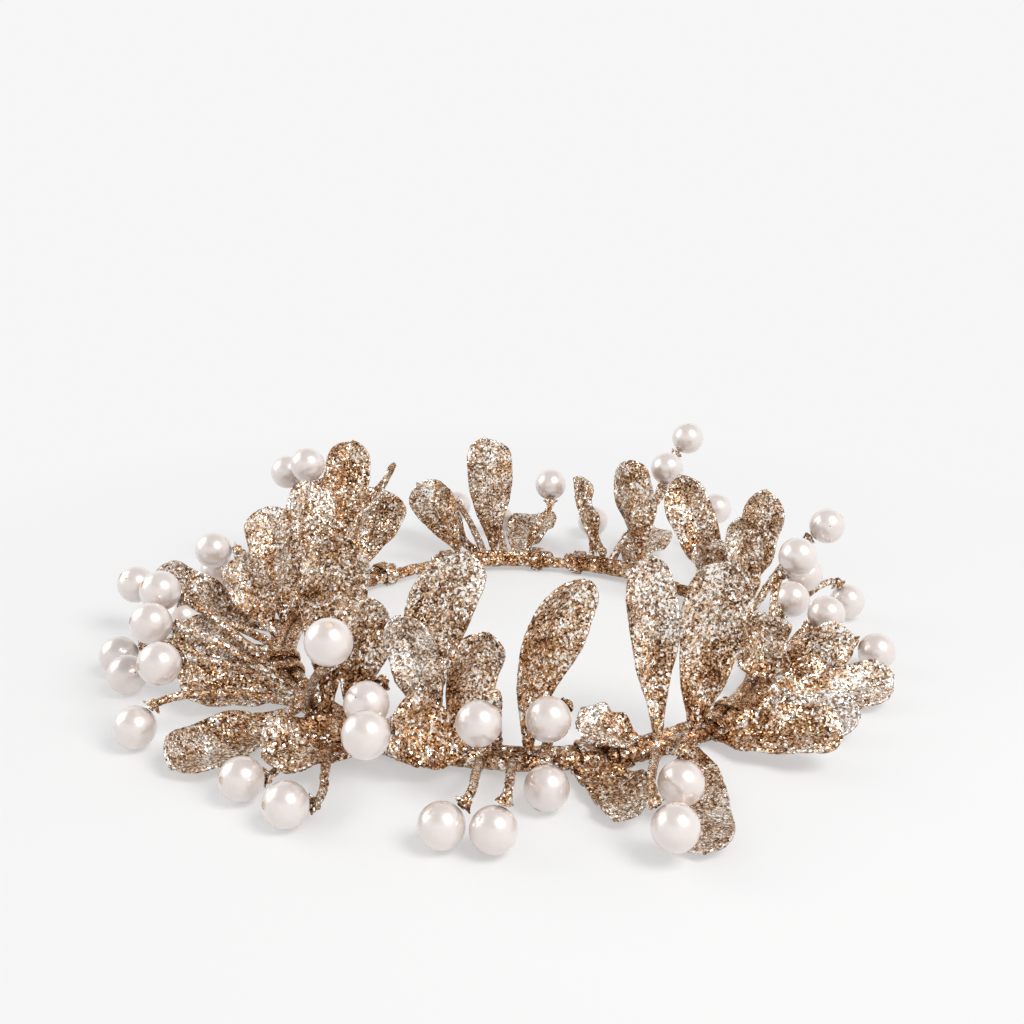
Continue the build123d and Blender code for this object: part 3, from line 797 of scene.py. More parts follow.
@dataclass(frozen=True)
class Glitter:
    """A coat of champagne gold glitter in one of its tones.

    On a leaf the coat is champagne along its blade, deeper and more copper towards its root, and paler and
    more silver towards its tip. The root end is partly the bare base under the glitter and partly painted
    shade and painted warm reflected light near the stem; the paler tip is a painted highlight. Each leaf also
    carries its own painted light and shade.
    """

    name: str
    tone: Tone
    flakes_per_metre: float = 2700.0
    tilt: float = 0.78
    specular: float = 0.25
    follows_leaf: bool = False
    root_end: float = 0.6
    # How far the tip pales: painted highlight.
    tip_painted_highlight: float = 0.22

    def bronze_and_painted_light(self, n: Nodes) -> Socket | float:
        """The depth of bronze of the coat; on a leaf it also carries painted shade at the root, a painted
        highlight at the tip and the leaf's own painted light.

        Args:
            n: The nodes of the material.

        Returns:
            One value for the whole coat, or a value that follows each leaf.
        """
        depth = self.tone.value[0]
        if not self.follows_leaf:
            return depth
        run = n.add("ShaderNodeUVMap", uv_map=LEAF_RUN).outputs[0]
        marks = n.add("ShaderNodeSeparateXYZ", {0: run}).outputs
        # Deeper bronze towards the root: partly the bare base under the glitter, partly painted shade and
        # painted warm reflected light near the stem.
        root = n.span(marks[1], 0.0, self.root_end, 1.0, depth)
        # Paler and more silver towards the tip: painted highlight.
        tip = n.span(marks[1], self.root_end, 1.0, 0.0, -self.tip_painted_highlight)
        # The leaf's own painted light and shade, from the first channel of its UV map.
        return n.math("SUBTRACT", n.plus(root, tip), marks[0])

    def material(self) -> bpy.types.Material:
        """Build the material with the flake group and a Principled shader.

        Returns:
            The material.
        """
        made = bpy.data.materials.new(self.name)
        n = Nodes.of(made)
        values = {
            "Flakes per metre": self.flakes_per_metre,
            "Tilt": self.tilt,
            "Bronze and painted light": self.bronze_and_painted_light(n),
            "Bright share": self.tone.value[1],
        }
        coat = n.add("ShaderNodeGroup", values, node_tree=FlakeGroup().tree()).outputs
        n.surface({
            "Base Color": coat["Colour"],
            "Roughness": coat["Roughness"],
            "Metallic": coat["Metallic"],
            "Normal": coat["Normal"],
            "Specular IOR Level": self.specular,
        })
        return made


@dataclass(frozen=True)
class PearlLacquer:
    """Warm white pearl lacquer with a soft lustre and a few stray flakes of glitter."""

    name: str = "pearl_lacquer"
    cloud_scale: float = 260.0
    clouds: tuple[tuple[float, Colour], ...] = (
        (0.3, (0.80, 0.715, 0.675, 1.0)),
        (0.7, (0.85, 0.785, 0.75, 1.0)),
    )
    roughness_limits: tuple[float, float] = (0.27, 0.34)
    stray_scale: float = 420.0
    stray_size: float = 0.085
    stray_dice: float = 0.93
    stray_colour: Colour = (0.12, 0.06, 0.03, 1.0)
    sheen_tint: Colour = (1.0, 0.93, 0.9, 1.0)

    def material(self) -> bpy.types.Material:
        """Build the lacquer.

        Returns:
            The material.
        """
        made = bpy.data.materials.new(self.name)
        n = Nodes.of(made)
        place = n.place()
        cloud = n.cloud(place, self.cloud_scale)
        stray = n.cells(place, self.stray_scale)
        kept = n.above(n.dice(stray["Color"])[0], self.stray_dice)
        speck = n.times(n.math("LESS_THAN", stray["Distance"], self.stray_size), kept)
        n.surface({
            "Base Color": n.blend(speck, n.ramp(cloud, self.clouds), self.stray_colour),
            "Roughness": n.span(cloud, 0.0, 1.0, *self.roughness_limits),
            "Metallic": 0.4,
            "Coat Weight": 1.0,
            "Coat Roughness": 0.09,
            "Coat IOR": 1.7,
            "Sheen Weight": 0.2,
            "Sheen Roughness": 0.4,
            "Sheen Tint": self.sheen_tint,
        })
        return made


@dataclass(frozen=True)
class Plain:
    """A finish of one colour family with a fine grain, such as glue or drawn steel."""

    name: str
    dark: Colour
    light: Colour
    metallic: float = 0.0
    roughness: float = 0.5
    roughness_spread: float = 0.08
    grain: float = 900.0
    grain_limits: tuple[float, float] = (0.35, 0.65)
    bump_strength: float = 0.15
    bump_distance: float = 0.0002

    def material(self) -> bpy.types.Material:
        """Build the finish.

        Returns:
            The material.
        """
        made = bpy.data.materials.new(self.name)
        n = Nodes.of(made)
        grain = n.cloud(n.place(), self.grain)
        relief = {"Height": grain, "Strength": self.bump_strength, "Distance": self.bump_distance}
        low, high = self.roughness - self.roughness_spread, self.roughness + self.roughness_spread
        n.surface({
            "Base Color": n.ramp(grain, tuple(zip(self.grain_limits, (self.dark, self.light)))),
            "Roughness": n.span(grain, 0.0, 1.0, low, high),
            "Metallic": self.metallic,
            "Normal": n.add("ShaderNodeBump", relief).outputs[0],
        })
        return made


class FinishBook:
    """Every finish and every grain of the ring, each built once."""

    def __init__(self) -> None:
        """Mix all the finishes."""
        self.leaf = Glitter("leaf_glitter", Tone.LEAF, follows_leaf=True).material()
        self.twig = Glitter("twig_glitter", Tone.TWIG, flakes_per_metre=2900.0).material()
        self.stem = Glitter("stem_glitter", Tone.STEM).material()
        self.tape = Glitter("tape_glitter", Tone.WRAP).material()
        self.sleeve = Glitter("sleeve_glitter", Tone.WRAP).material()
        self.pearl = PearlLacquer().material()
        self.glue = Plain("bore_glue", (0.70, 0.58, 0.42, 1.0), (0.80, 0.68, 0.52, 1.0)).material()
        steel = Plain("drawn_steel", (0.36, 0.35, 0.33, 1.0), (0.55, 0.53, 0.5, 1.0), 0.9, 0.35)
        self.steel = steel.material()
        self.coarse = self._grain("coarse_grain", 0.0012)
        self.fine = self._grain("fine_grain", 0.0006)

    @staticmethod
    def _grain(name: str, size: float) -> bpy.types.Texture:
        """A cellular texture that roughens a surface.

        Args:
            name: The name of the texture.
            size: The size of its grains.

        Returns:
            The texture.
        """
        grain = bpy.data.textures.new(name, "VORONOI")
        grain.noise_scale = size
        grain.distance_metric = "DISTANCE"
        grain.noise_intensity = 1.0
        return grain

    @staticmethod
    def dress(piece: Piece, *finishes: bpy.types.Material) -> None:
        """Give a piece its finishes.

        Args:
            piece: The piece to dress.
            finishes: The finishes, in the order of its material slots.
        """
        piece.data.materials.clear()
        for finish in finishes:
            piece.data.materials.append(finish)


@dataclass
class LeafMaker:
    """Makes one flat leaf blank by hand, and lays copies of it in place.

    The blank is one unit long and as wide as a full leaf. Its outline gives the share of that width
    at each station along it.
    """

    sizes: RingSizes
    width: float = 0.016
    thickness: float = 0.0007
    rows: int = 64
    columns: int = 28
    half_run: float = 0.51
    row_slack: float = 0.001
    seed_step: int = 100
    outline: tuple[tuple[float, float], ...] = (
        (-0.1, 0.13), (0.0, 0.14), (0.06, 0.2), (0.12, 0.28), (0.2, 0.42), (0.3, 0.6), (0.4, 0.76),
        (0.52, 0.9), (0.64, 0.98), (0.75, 1.0), (0.85, 0.95), (0.92, 0.82), (0.97, 0.6), (1.0, 0.36),
        (1.02, 0.04),
    )
    stalk_radius: float = 0.00105
    stalk_sides: int = 10
    stalk_start: float = -0.07
    stalk_run: float = 0.86
    stalk_tapers: tuple[float, ...] = (1.16,) * 2 + (0.9,) * 3 + (0.955,) * 13
    stalk_sink: float = 0.8
    stalk_sink_rate: float = 5.0
    cup_power: float = 1.4
    rim_power: float = 1.6
    rim_waves: tuple[float, float] = (1.6, 2.8)
    rim_height: float = 0.0009
    rim_rate: float = 3.0
    stalk_rim: float = 0.3
    fold_depth: float = 0.0005
    fold_width: float = 0.16
    fold_rate: float = 4.0
    fold_end: float = 1.1
    flare_shares: tuple[float, float] = (0.035, 0.012)
    flare_waves: tuple[float, float] = (7.0, 23.0)
    flare_slant: float = 2.0
    base_place: float = 0.2
    base_spread: float = 0.17
    coarse_coat: float = 0.00014
    fine_coat: float = 0.0002

    def share_at(self, station: float | np.ndarray) -> float | np.ndarray:
        """The width of the outline at a station, as a share of the full width."""
        places, widths = zip(*self.outline)
        return np.interp(station, places, widths)

    def blank(self) -> Piece:
        """Shape the flat blank of the blade: a grid drawn in to the outline of a leaf.

        Returns:
            The blank.
        """
        Bench.clear()
        bpy.ops.mesh.primitive_grid_add(x_subdivisions=self.columns, y_subdivisions=self.rows, size=2)
        blade = bpy.context.active_object
        Bench.edit(blade)
        bpy.ops.transform.resize(value=(self.width / 2, self.half_run, 1))
        bpy.ops.transform.translate(value=(0, self.half_run, 0))
        bpy.ops.object.mode_set(mode="OBJECT")
        for station in sorted({round(v.co.y, 5) for v in blade.data.vertices}):
            Bench.edit(blade, "DESELECT")
            Bench.pick(blade, "VERT", lambda co, y=station: abs(co.y - y) < self.row_slack)
            share = float(self.share_at(station))
            bpy.ops.transform.resize(value=(share, 1, 1), center_override=(0, station, 0))
        Bench.clear()
        blade.name = "leaf_blank"
        return blade

    def stalk_blank(self) -> Piece:
        """Draw the stalk: a small round section extruded along the leaf and tapered into the blade.

        Returns:
            The blank.
        """
        Bench.clear()
        bpy.ops.mesh.primitive_circle_add(
            vertices=self.stalk_sides, radius=self.stalk_radius, fill_type="NGON",
            rotation=(math.pi / 2, 0, 0),
        )
        stalk = bpy.context.active_object
        Bench.fix(stalk)
        Bench.edit(stalk)
        bpy.ops.transform.translate(value=(0, self.stalk_start, 0))
        steps = len(self.stalk_tapers)
        for k, taper in enumerate(self.stalk_tapers, 1):
            bpy.ops.mesh.extrude_region_move(TRANSFORM_OT_translate={"value": (0, self.stalk_run / steps, 0)})
            middle = (0, self.stalk_start + self.stalk_run * k / steps, 0)
            bpy.ops.transform.resize(value=(taper, 1, taper), center_override=middle)
        Bench.clear()
        stalk.name = "stalk_blank"
        return stalk

    def axes(self, row: LeafRow) -> tuple[Vector, Vector, Vector, Vector, Vector, float]:
        """How a leaf lies on the ring.

        Args:
            row: The leaf's row.

        Returns:
            Its root, the directions out of its socket, along, up from and across it, and its length.
        """
        ring = self.sizes
        tip = ring.polar(row.tip, ring.hoop_radius + row.reach * ring.reach, row.height * ring.height)
        centre, out = ring.socket_line(row.socket, tip)
        root = centre + out * (ring.stem_radius + ring.peg_rise)
        along = (tip - root).normalized()
        bearing, lift = (math.radians(angle) for angle in row.hollow)
        level = math.cos(lift)
        facing = Vector((math.cos(bearing) * level, math.sin(bearing) * level, math.sin(lift)))
        up = square_to(facing, along)
        return root, out, along, up, up.cross(along), (tip - root).length

    def lay(self, piece: Piece, row: LeafRow, seed: int, is_stalk: bool, fuller: float, tone: float) -> None:
        """Bend a flat copy of a blank into its place on the ring.

        Args:
            piece: The copy, in the flat coordinates of the blank.
            row: The leaf's row.
            seed: The seed of its own ripples.
            is_stalk: Whether the copy is the stalk, which lies along the back of the blade.
            fuller: How much wider its base is than the blank's, as a share of the full width.
            tone: How much painted light its glitter gets: above nought paler, as if lit; below nought deeper
                bronze as painted shade.
        """
        dice = np.random.default_rng(seed)
        phase = dice.uniform(0, 2 * math.pi, 4)
        rate = dice.uniform(*self.rim_waves, 2)
        root, out, along, up, across, length = self.axes(row)
        cup, sag, bend = row.form
        mesh = piece.data
        flat = np.empty(len(mesh.vertices) * 3)
        mesh.vertices.foreach_get("co", flat)
        x, station, z = flat.reshape(-1, 3).T
        t = np.clip(station, 0, None)
        half = self.share_at(station) * self.width / 2
        side = np.clip(x / half, -1, 1)
        swing = 4 * t * (1 - t) * length
        right, left = (np.sin(rate[k] * 2 * math.pi * t + phase[k]) for k in (0, 1))
        ripple = self.rim_height * np.abs(side) ** self.rim_power * np.where(side > 0, right, left)
        ripple = ripple * np.clip(t * self.rim_rate, 0, 1) * (self.stalk_rim if is_stalk else 1)
        slant = self.flare_slant * side
        flare = 1 + self.flare_shares[0] * np.sin(self.flare_waves[0] * t + phase[2]) * side
        flare = flare + self.flare_shares[1] * np.sin(self.flare_waves[1] * t + phase[3] + slant)
        swell = np.exp(-(((t - self.base_place) / self.base_spread) ** 2))
        swell = 1 + fuller * swell * self.width / 2 / half
        lift = row.width * half * swell * cup * np.abs(side) ** self.cup_power + ripple
        fold = self.fold_depth * np.exp(-((side / self.fold_width) ** 2))
        lift -= fold * np.clip(self.fold_rate * t * (self.fold_end - t), 0, 1)
        rise = z + lift - sag * swing
        if is_stalk:
            rise = rise - self.thickness * self.stalk_sink * np.clip(t * self.stalk_sink_rate, 0, 1)
        spots = np.array(root)[None, :] + np.outer(length * t, along) + np.outer(rise, up)
        spots += np.outer(x * row.width * flare * (1 if is_stalk else swell) + bend * swing, across)
        spots += np.outer(np.clip(station, None, 0) * length, out)
        mesh.vertices.foreach_set("co", spots.ravel())
        self.mark_run(mesh, tone, t)
        mesh.update()

    @staticmethod
    def mark_run(mesh: bpy.types.Mesh, tone: float, run: np.ndarray) -> None:
        """Keep the painted light and shade of a leaf and each point's place along it as a UV map, for the
        glitter to follow.

        Args:
            mesh: The mesh of a blade or a stalk.
            tone: The painted light of this leaf, paler above nought and painted shade below it.
            run: The place of each vertex along the leaf, from 0 at the root to 1 at the tip.
        """
        layer = mesh.uv_layers[0] if mesh.uv_layers else mesh.uv_layers.new(name=LEAF_RUN)
        layer.name = LEAF_RUN
        corner = np.empty(len(mesh.loops), dtype=np.int32)
        mesh.loops.foreach_get("vertex_index", corner)
        layer.data.foreach_set("uv", np.column_stack((np.full(len(corner), tone), run[corner])).ravel())

    def leaves(self, spray: str, order: int, book: FinishBook, blade: Piece, stalk: Piece) -> Piece:
        """Lay all the leaves of a spray, and give them their thickness and their coat of glitter.

        Args:
            spray: The name of the spray.
            order: Its number along the hoop.
            book: The finishes.
            blade: The blank of the blade.
            stalk: The blank of the stalk.

        Returns:
            The leaves of the spray as one piece.
        """
        blades, stalks = [], []
        for k, row in enumerate(LEAVES[spray]):
            seed = self.seed_step * order + k
            # Painted light and shade of this leaf.
            tone = LEAF_PAINTED_LIGHT.get((spray, k), 0.0)
            blades.append(Bench.copy(blade, f"{spray}_blade_{k}"))
            self.lay(blades[-1], row, seed, False, FULLER_BASES.get((spray, k), 0.0), tone)
            stalks.append(Bench.copy(stalk, f"{spray}_stalk_{k}"))
            self.lay(stalks[-1], row, seed, True, 0.0, tone)
        sheet = Bench.join(blades, f"{spray}_blades")
        Bench.modify(sheet, "SOLIDIFY", thickness=self.thickness, offset=1.0)
        piece = Bench.join([*stalks, sheet], f"{spray}_leaves_glittered")
        Bench.close(piece)
        Bench.roughen(piece, book.coarse, self.coarse_coat)
        Bench.roughen(piece, book.fine, self.fine_coat)
        book.dress(piece, book.leaf)
        return piece


@dataclass
class BerryMaker:
    """Makes the twigs, their crowns and the pearls."""

    sizes: RingSizes
    pearl_radius: float = 0.005
    pearl_segments: int = 32
    pearl_rings: int = 16
    pearl_smooth: float = 38.0
    pearl_roll: float = 0.9
    bore_share: float = 0.975
    bore_rim: float = 0.00012
    bore_depth: float = 0.00022
    neck_length: float = 0.0085
    twig_radius: float = 0.00105
    twig_shares: tuple[float, ...] = (1.3, 1.2, 1.0, 0.9, 0.85)
    twig_start: float = 0.4
    twig_arch: float = 0.07
    twig_arch_place: float = 0.55
    seat_gap: float = 0.0003
    crown_sides: int = 12
    crown_radius: float = 0.00085
    crown_place: float = -0.0077
    crown_steps: tuple[tuple[float, float], ...] = ((0.0008, 1.3), (0.0007, 1.25), (0.0005, 1.15))
    crown_point_spread: float = 1.85
    crown_point_drop: float = 0.0001
    crown_wall: float = 0.0005
    crown_roll: float = 1.7
    coat: float = 0.00045

    def pearl_point(self, row: BerryRow) -> Vector:
        """The centre of a pearl."""
        ring = self.sizes
        out, high = row.reach * ring.reach, row.lift * ring.height
        return ring.polar(row.pearl, ring.hoop_radius + out, self.pearl_radius + high)

    def neck_point(self, row: BerryRow) -> Vector:
        """The bend of the twig behind its pearl."""
        return self.pearl_point(row) + Vector(row.neck).normalized() * self.neck_length

    def turned(self, piece: Piece, row: BerryRow, roll: float) -> None:
        """Move a copy that was made round the origin along +Z to its pearl, and fix it there.

        Args:
            piece: The copy of a blank.
            row: The berry's row.
            roll: How far the copy is rolled round its own axis, in radians.
        """
        centre = self.pearl_point(row)
        ahead = (centre - self.neck_point(row)).normalized()
        turn = ahead.to_track_quat("Z", "Y").to_matrix().to_4x4()
        piece.matrix_world = Matrix.Translation(centre) @ turn @ Matrix.Rotation(roll, 4, "Z")
        Bench.fix(piece)

    def pearl_blank(self, book: FinishBook) -> Piece:
        """Turn one pearl: a ball with a drilled bore at both ends, a narrow rim round each and glue inside.

        Args:
            book: The finishes.

        Returns:
            The blank.
        """
        Bench.clear()
        bpy.ops.mesh.primitive_uv_sphere_add(
            segments=self.pearl_segments, ring_count=self.pearl_rings, radius=self.pearl_radius
        )
        pearl = bpy.context.active_object
        book.dress(pearl, book.pearl, book.glue)
        for end in (1, -1):
            Bench.edit(pearl, "DESELECT")
            Bench.pick(pearl, "FACE", lambda co, s=end: co.z * s > self.pearl_radius * self.bore_share)
            bpy.ops.mesh.inset(thickness=self.bore_rim)
            bpy.ops.mesh.extrude_region_move(TRANSFORM_OT_translate={"value": (0, 0, -self.bore_depth * end)})
            pearl.active_material_index = 1
            bpy.ops.object.material_slot_assign()
        Bench.take(pearl)
        bpy.ops.object.shade_smooth_by_angle(angle=math.radians(self.pearl_smooth))
        pearl.name = "pearl_blank"
        return pearl

    def crown_blank(self) -> Piece:
        """Draw one crown: a small cup at the end of a twig that opens into short points.

        Returns:
            The blank.
        """
        Bench.clear()
        bpy.ops.mesh.primitive_circle_add(
            vertices=self.crown_sides, radius=self.crown_radius, fill_type="NOTHING",
            location=(0, 0, self.crown_place),
        )
        crown = bpy.context.active_object
        Bench.fix(crown)
        Bench.edit(crown)
        for rise, spread in self.crown_steps:
            bpy.ops.mesh.extrude_region_move(TRANSFORM_OT_translate={"value": (0, 0, rise)})
            bpy.ops.transform.resize(value=(spread, spread, 1), center_override=(0, 0, 0))
        bpy.ops.object.mode_set(mode="OBJECT")
        rim = max(v.co.z for v in crown.data.vertices) - HAIR
        step = 2 * math.pi / self.crown_sides
        Bench.edit(crown, "DESELECT")
        Bench.pick(crown, "VERT", lambda co: co.z > rim and round(math.atan2(co.y, co.x) / step) % 3 == 0)
        bpy.ops.transform.translate(value=(0, 0, -self.crown_point_drop))
        points = (self.crown_point_spread, self.crown_point_spread, 1)
        bpy.ops.transform.resize(value=points, center_override=(0, 0, 0))
        Bench.clear()
        Bench.modify(crown, "SOLIDIFY", thickness=self.crown_wall, offset=0.0)
        Bench.modify(crown, "SUBSURF", levels=2, render_levels=2)
        crown.name = "crown_blank"
        return crown

    def twig(self, row: BerryRow, name: str) -> Piece:
        """Bend one twig from its socket to its pearl as a round curve.

        Args:
            row: The berry's row.
            name: The name of the twig.

        Returns:
            The twig.
        """
        ring = self.sizes
        pearl, neck = self.pearl_point(row), self.neck_point(row)
        centre, out = ring.socket_line(row.socket, neck)
        ahead = (pearl - neck).normalized()
        seat = pearl - ahead * (self.pearl_radius + self.seat_gap)
        start = centre + out * (ring.stem_radius * self.twig_start)
        root = centre + out * (ring.stem_radius + ring.peg_rise)
        arch = Vector((0, 0, self.twig_arch * (neck - root).length))
        route = [start, root, root.lerp(neck, self.twig_arch_place) + arch, neck, seat]
        twig = Bench.bar(route, self.twig_shares, self.twig_radius, steps=10, rounding=2)
        twig.name = name
        return twig

    def twigs(self, spray: str, book: FinishBook, crown: Piece) -> Piece:
        """Make all the twigs of a spray with their crowns.

        Args:
            spray: The name of the spray.
            book: The finishes.
            crown: The blank of the crown.

        Returns:
            The twigs of the spray as one piece.
        """
        parts = []
        for k, row in enumerate(BERRIES[spray]):
            parts.append(Bench.copy(crown, f"{spray}_crown_{k}"))
            self.turned(parts[-1], row, self.crown_roll * k)
            parts.append(self.twig(row, f"{spray}_twig_{k}"))
        piece = Bench.join(parts, f"{spray}_twigs_glittered")
        Bench.close(piece)
        Bench.roughen(piece, book.fine, self.coat)
        book.dress(piece, book.twig)
        return piece

    def pearls(self, spray: str, pearl: Piece) -> Piece:
        """Set all the pearls of a spray.

        Args:
            spray: The name of the spray.
            pearl: The blank of the pearl, which has its finishes.

        Returns:
            The pearls of the spray as one piece.
        """
        parts = []
        for k, row in enumerate(BERRIES[spray]):
            parts.append(Bench.copy(pearl, f"{spray}_pearl_{k}"))
            self.turned(parts[-1], row, self.pearl_roll * k)
        return Bench.join(parts, f"{spray}_pearls_lacquered")


@dataclass
class HoopMaker:
    """Makes the sleeve of the hoop, the stems and the tapes that bind them."""

    sizes: RingSizes
    sleeve_segments: int = 420
    sleeve_sides: int = 16
    sleeve_coats: tuple[float, float] = (0.0005, 0.0003)
    stem_past_share: float = 0.45
    stem_past_most: float = 2.4
    stem_stretch: float = 4.0
    stem_nose: float = 0.0016
    stem_nose_shares: tuple[float, float] = (0.12, 0.75)
    stem_coats: tuple[float, float] = (0.0004, 0.00025)
    tape_edge: float = 0.00018
    tape_coat: float = 0.0002
    tape_smooth: float = 40.0

    def sleeve(self, book: FinishBook) -> Piece:
        """Draw the glittered sleeve round the steel wire, a little uneven as wrapping leaves it.

        Args:
            book: The finishes.

        Returns:
            The sleeve.
        """
        Bench.clear()
        ring = self.sizes
        bpy.ops.mesh.primitive_torus_add(
            major_segments=self.sleeve_segments, minor_segments=self.sleeve_sides,
            major_radius=ring.hoop_radius, minor_radius=ring.sleeve_radius, location=(0, 0, ring.run_height),
        )
        piece = bpy.context.active_object
        Bench.fix(piece)
        for grain, depth in zip((book.coarse, book.fine), self.sleeve_coats):
            Bench.roughen(piece, grain, depth)
        bpy.ops.object.shade_smooth()
        piece.name = "hoop_sleeve_glittered"
        book.dress(piece, book.sleeve)
        return piece

    def stem(self, spray: str, book: FinishBook) -> Piece:
        """Draw the vine of a spray along the hoop, a little past its CAD stem at both ends.

        Args:
            spray: The name of the spray.
            book: The finishes.

        Returns:
            The stem.
        """
        ring = self.sizes
        first, last = ring.stem_span(spray)
        others = [ring.stem_span(other) for other in LEAVES if other != spray]
        before = min((first - end) % 360 for _, end in others)
        after = min((start - last) % 360 for start, _ in others)
        first = first - min(self.stem_past_share * before, self.stem_past_most)
        last = last + min(self.stem_past_share * after, self.stem_past_most)
        nose = math.degrees(self.stem_nose / ring.stem_run)
        inner = np.linspace(first + nose, last - nose, max(5, round((last - first) / self.stem_stretch)))
        angles = [first, first + nose / 4, *inner, last - nose / 4, last]
        shares = [*self.stem_nose_shares, *np.ones(len(inner)), *reversed(self.stem_nose_shares)]
        route = [ring.polar(angle, ring.stem_run, ring.run_height) for angle in angles]
        piece = Bench.bar(route, shares, ring.stem_radius, steps=8, rounding=4)
        Bench.close(piece)
        for grain, depth in zip((book.coarse, book.fine), self.stem_coats):
            Bench.roughen(piece, grain, depth)
        piece.name = f"{spray}_stem_glittered"
        book.dress(piece, book.stem)
        return piece

    def tapes(self, spray: str, node: Piece, book: FinishBook) -> Piece:
        """Copy the two CAD collars of a spray, and give them rounded edges and a grainy surface.

        Args:
            spray: The name of the spray.
            node: The CAD node of its collars.
            book: The finishes.

        Returns:
            The collars of the spray as one piece.
        """
        piece = Bench.copy(node, f"{spray}_tapes_wound")
        Bench.edit(piece)
        bpy.ops.mesh.remove_doubles(threshold=HAIR)
        bpy.ops.mesh.tris_convert_to_quads()
        bpy.ops.object.mode_set(mode="OBJECT")
        Bench.modify(piece, "BEVEL", width=self.tape_edge, segments=2, limit_method="ANGLE")
        Bench.edit(piece)
        bpy.ops.mesh.subdivide(number_cuts=2)
        bpy.ops.object.mode_set(mode="OBJECT")
        Bench.roughen(piece, book.fine, self.tape_coat)
        bpy.ops.object.shade_smooth_by_angle(angle=math.radians(self.tape_smooth))
        book.dress(piece, book.tape)
        return piece


@dataclass(frozen=True)
class Softbox:
    """One square softbox that faces the ring."""

    name: str
    place: tuple[float, float, float]
    side: float
    watts: float
    colour: tuple[float, float, float]

    def hang(self, aim: Vector) -> None:
        """Add the lamp.

        Args:
            aim: The point that it faces.
        """
        Bench.clear()
        bpy.ops.object.light_add(type="AREA", location=self.place)
        lamp = bpy.context.active_object
        lamp.name = self.name
        lamp.data.shape = "SQUARE"
        lamp.data.size = self.side
        lamp.data.energy = self.watts
        lamp.data.color = self.colour
        lamp.rotation_euler = (aim - Vector(self.place)).to_track_quat("-Z", "Y").to_euler()


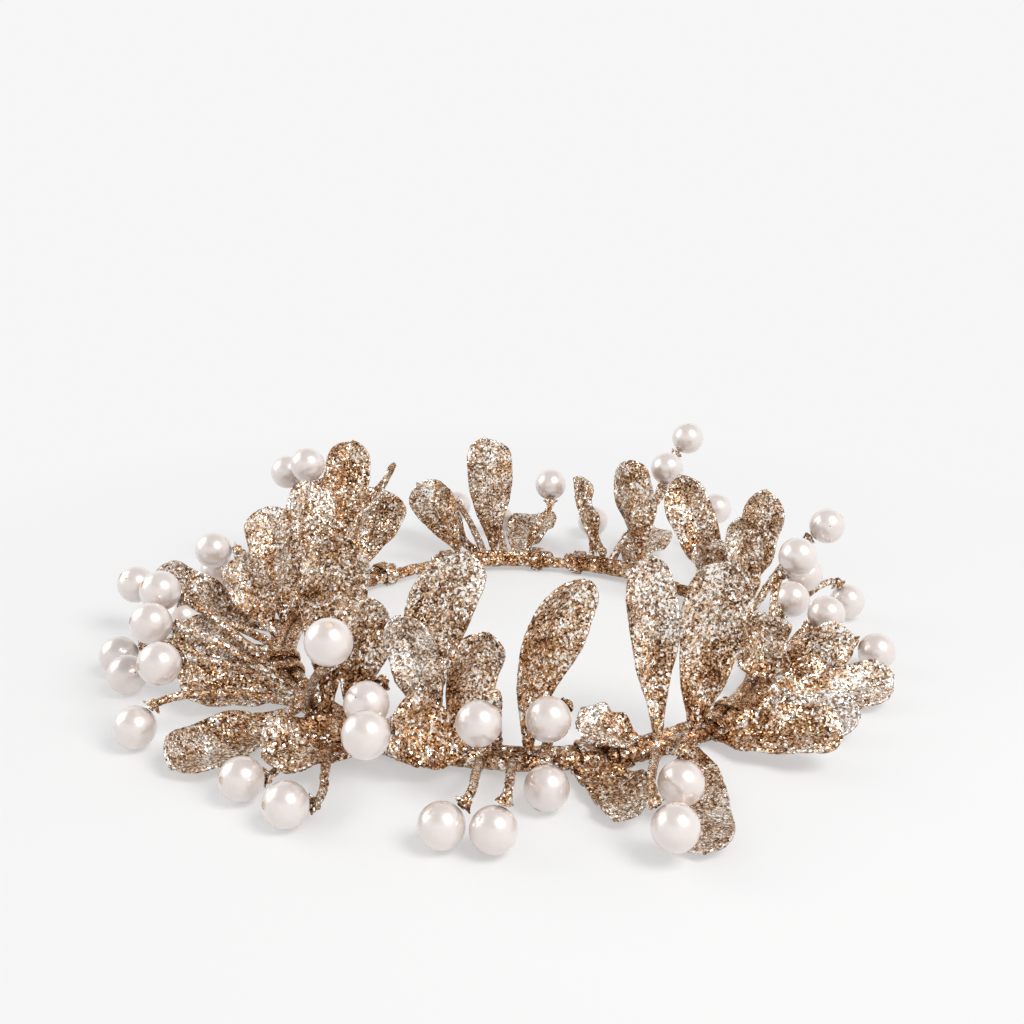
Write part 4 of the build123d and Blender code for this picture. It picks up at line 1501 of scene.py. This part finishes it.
@dataclass
class Studio:
    """Floor, world, lamps and camera."""

    pale: Colour = (0.922, 0.922, 0.922, 1.0)
    floor_side: float = 12.0
    floor_drop: float = 0.0004
    floor_colour: Colour = (0.82, 0.82, 0.82, 1.0)
    shadow_limits: tuple[float, float] = (0.13, 0.24)
    shadow_share: float = 0.45
    air_colour: Colour = (0.96, 0.97, 1.0, 1.0)
    air_strength: float = 0.55
    ceiling_colour: Colour = (0.50, 0.465, 0.455, 1.0)
    ceiling_limits: tuple[float, float] = (0.5, 0.75)
    lamps: tuple[Softbox, ...] = (
        Softbox("key_softbox", (0.50, -0.43, 0.86), 0.5, 7.6, (1.0, 0.985, 0.96)),
        Softbox("fill_softbox", (-0.95, 0.2, 0.55), 0.8, 3.6, (1.0, 0.98, 0.94)),
    )
    lamp_aim: tuple[float, float, float] = (0.0, 0.0, 0.02)
    camera_place: tuple[float, float, float] = (-0.0036, -0.3323, 0.1510)
    camera_pitch: float = 18.54
    camera_roll: float = 1.19
    camera_near: float = 0.01
    focal_pixels: float = 1340.0
    image_pixels: float = 1024.0
    sensor_width: float = 36.0

    def floor(self) -> None:
        """Lay a plain pale table that keeps a soft share of the shadows near the ring."""
        Bench.clear()
        bpy.ops.mesh.primitive_grid_add(
            x_subdivisions=2, y_subdivisions=2, size=self.floor_side, location=(0, 0, -self.floor_drop)
        )
        floor = bpy.context.active_object
        floor.name = "table_top"
        made = bpy.data.materials.new("table_white")
        n = Nodes.of(made)
        matte = n.add("ShaderNodeBsdfDiffuse", {"Color": self.floor_colour})
        glow = n.add("ShaderNodeEmission", {"Color": self.pale, "Strength": 1.0})
        away = n.add("ShaderNodeVectorMath", {0: n.place()}, operation="LENGTH").outputs["Value"]
        share = n.times(n.seen(), n.span(away, *self.shadow_limits, self.shadow_share, 1.0))
        mix = n.add("ShaderNodeMixShader", {0: share, 1: matte.outputs[0], 2: glow.outputs[0]})
        n.add("ShaderNodeOutputMaterial", {0: mix.outputs[0]})
        floor.data.materials.append(made)

    def world(self) -> None:
        """Put a pale world behind the table, and a softer one for its light."""
        world = bpy.data.worlds.new("studio_air")
        bpy.context.scene.world = world
        n = Nodes.of(world)
        soft = n.add("ShaderNodeBackground", {"Color": self.air_colour, "Strength": self.air_strength})
        way = n.add("ShaderNodeTexCoord").outputs["Generated"]
        height = n.add("ShaderNodeSeparateXYZ", {0: way}).outputs[2]
        ceiling = n.blend(n.span(height, *self.ceiling_limits, 0.0, 1.0), self.pale, self.ceiling_colour)
        shown = n.add("ShaderNodeBackground", {"Color": ceiling, "Strength": 1.0})
        mix = n.add("ShaderNodeMixShader", {0: n.seen(), 1: soft.outputs[0], 2: shown.outputs[0]})
        n.add("ShaderNodeOutputWorld", {0: mix.outputs[0]})

    def camera(self) -> None:
        """Place the camera of the photograph, from the sizes of the pearls and the lie of the ring."""
        data = bpy.data.cameras.new("photograph_view")
        data.sensor_fit = "HORIZONTAL"
        data.sensor_width = self.sensor_width
        data.lens = self.sensor_width * self.focal_pixels / self.image_pixels
        data.clip_start = self.camera_near
        camera = bpy.data.objects.new("photograph_view", data)
        bpy.context.scene.collection.objects.link(camera)
        pitch = Matrix.Rotation(math.radians(90.0 - self.camera_pitch), 4, "X")
        roll = Matrix.Rotation(math.radians(self.camera_roll), 4, "Z")
        camera.matrix_world = Matrix.Translation(self.camera_place) @ (pitch @ roll)
        bpy.context.scene.camera = camera

    def build(self) -> None:
        """Set the whole studio up."""
        self.floor()
        self.world()
        for lamp in self.lamps:
            lamp.hang(Vector(self.lamp_aim))
        self.camera()
        bpy.context.scene.view_settings.view_transform = "Standard"


@dataclass
class CandleRing:
    """The whole ring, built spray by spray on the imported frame."""

    frame: dict
    sizes: RingSizes = field(default_factory=RingSizes)

    def settle(self, piece: Piece, node: str) -> None:
        """Let a piece ride on the ring in place of its CAD node.

        Args:
            piece: The finished piece.
            node: The CAD node that it stands for.
        """
        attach(piece, "root")
        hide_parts(node)
        LOG.info("%s stands for %s with %d faces", piece.name, node, len(piece.data.polygons))

    def build(self) -> None:
        """Build the hoop, then every spray, and drop the blanks."""
        book = FinishBook()
        hoop, leaf, berry = HoopMaker(self.sizes), LeafMaker(self.sizes), BerryMaker(self.sizes)
        self.settle(hoop.sleeve(book), "hoop_sleeve")
        book.dress(self.frame["nodes"]["hoop_wire"], book.steel)
        blade, stalk = leaf.blank(), leaf.stalk_blank()
        pearl, crown = berry.pearl_blank(book), berry.crown_blank()
        for order, spray in enumerate(LEAVES):
            collars = self.frame["nodes"][f"{spray}_tapes"]
            self.settle(hoop.tapes(spray, collars, book), f"{spray}_tapes")
            self.settle(hoop.stem(spray, book), f"{spray}_stem")
            self.settle(leaf.leaves(spray, order, book, blade, stalk), f"{spray}_leaves")
            self.settle(berry.twigs(spray, book, crown), f"{spray}_twigs")
            self.settle(berry.pearls(spray, pearl), f"{spray}_pearls")
        for blank in (blade, stalk, pearl, crown):
            bpy.data.objects.remove(blank)


def main() -> None:
    """Build the ring on its frame and light it."""
    logging.basicConfig(level=logging.INFO, format="%(message)s")
    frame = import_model()
    CandleRing(frame).build()
    Studio().build()


if __name__ == "__main__":
    main()
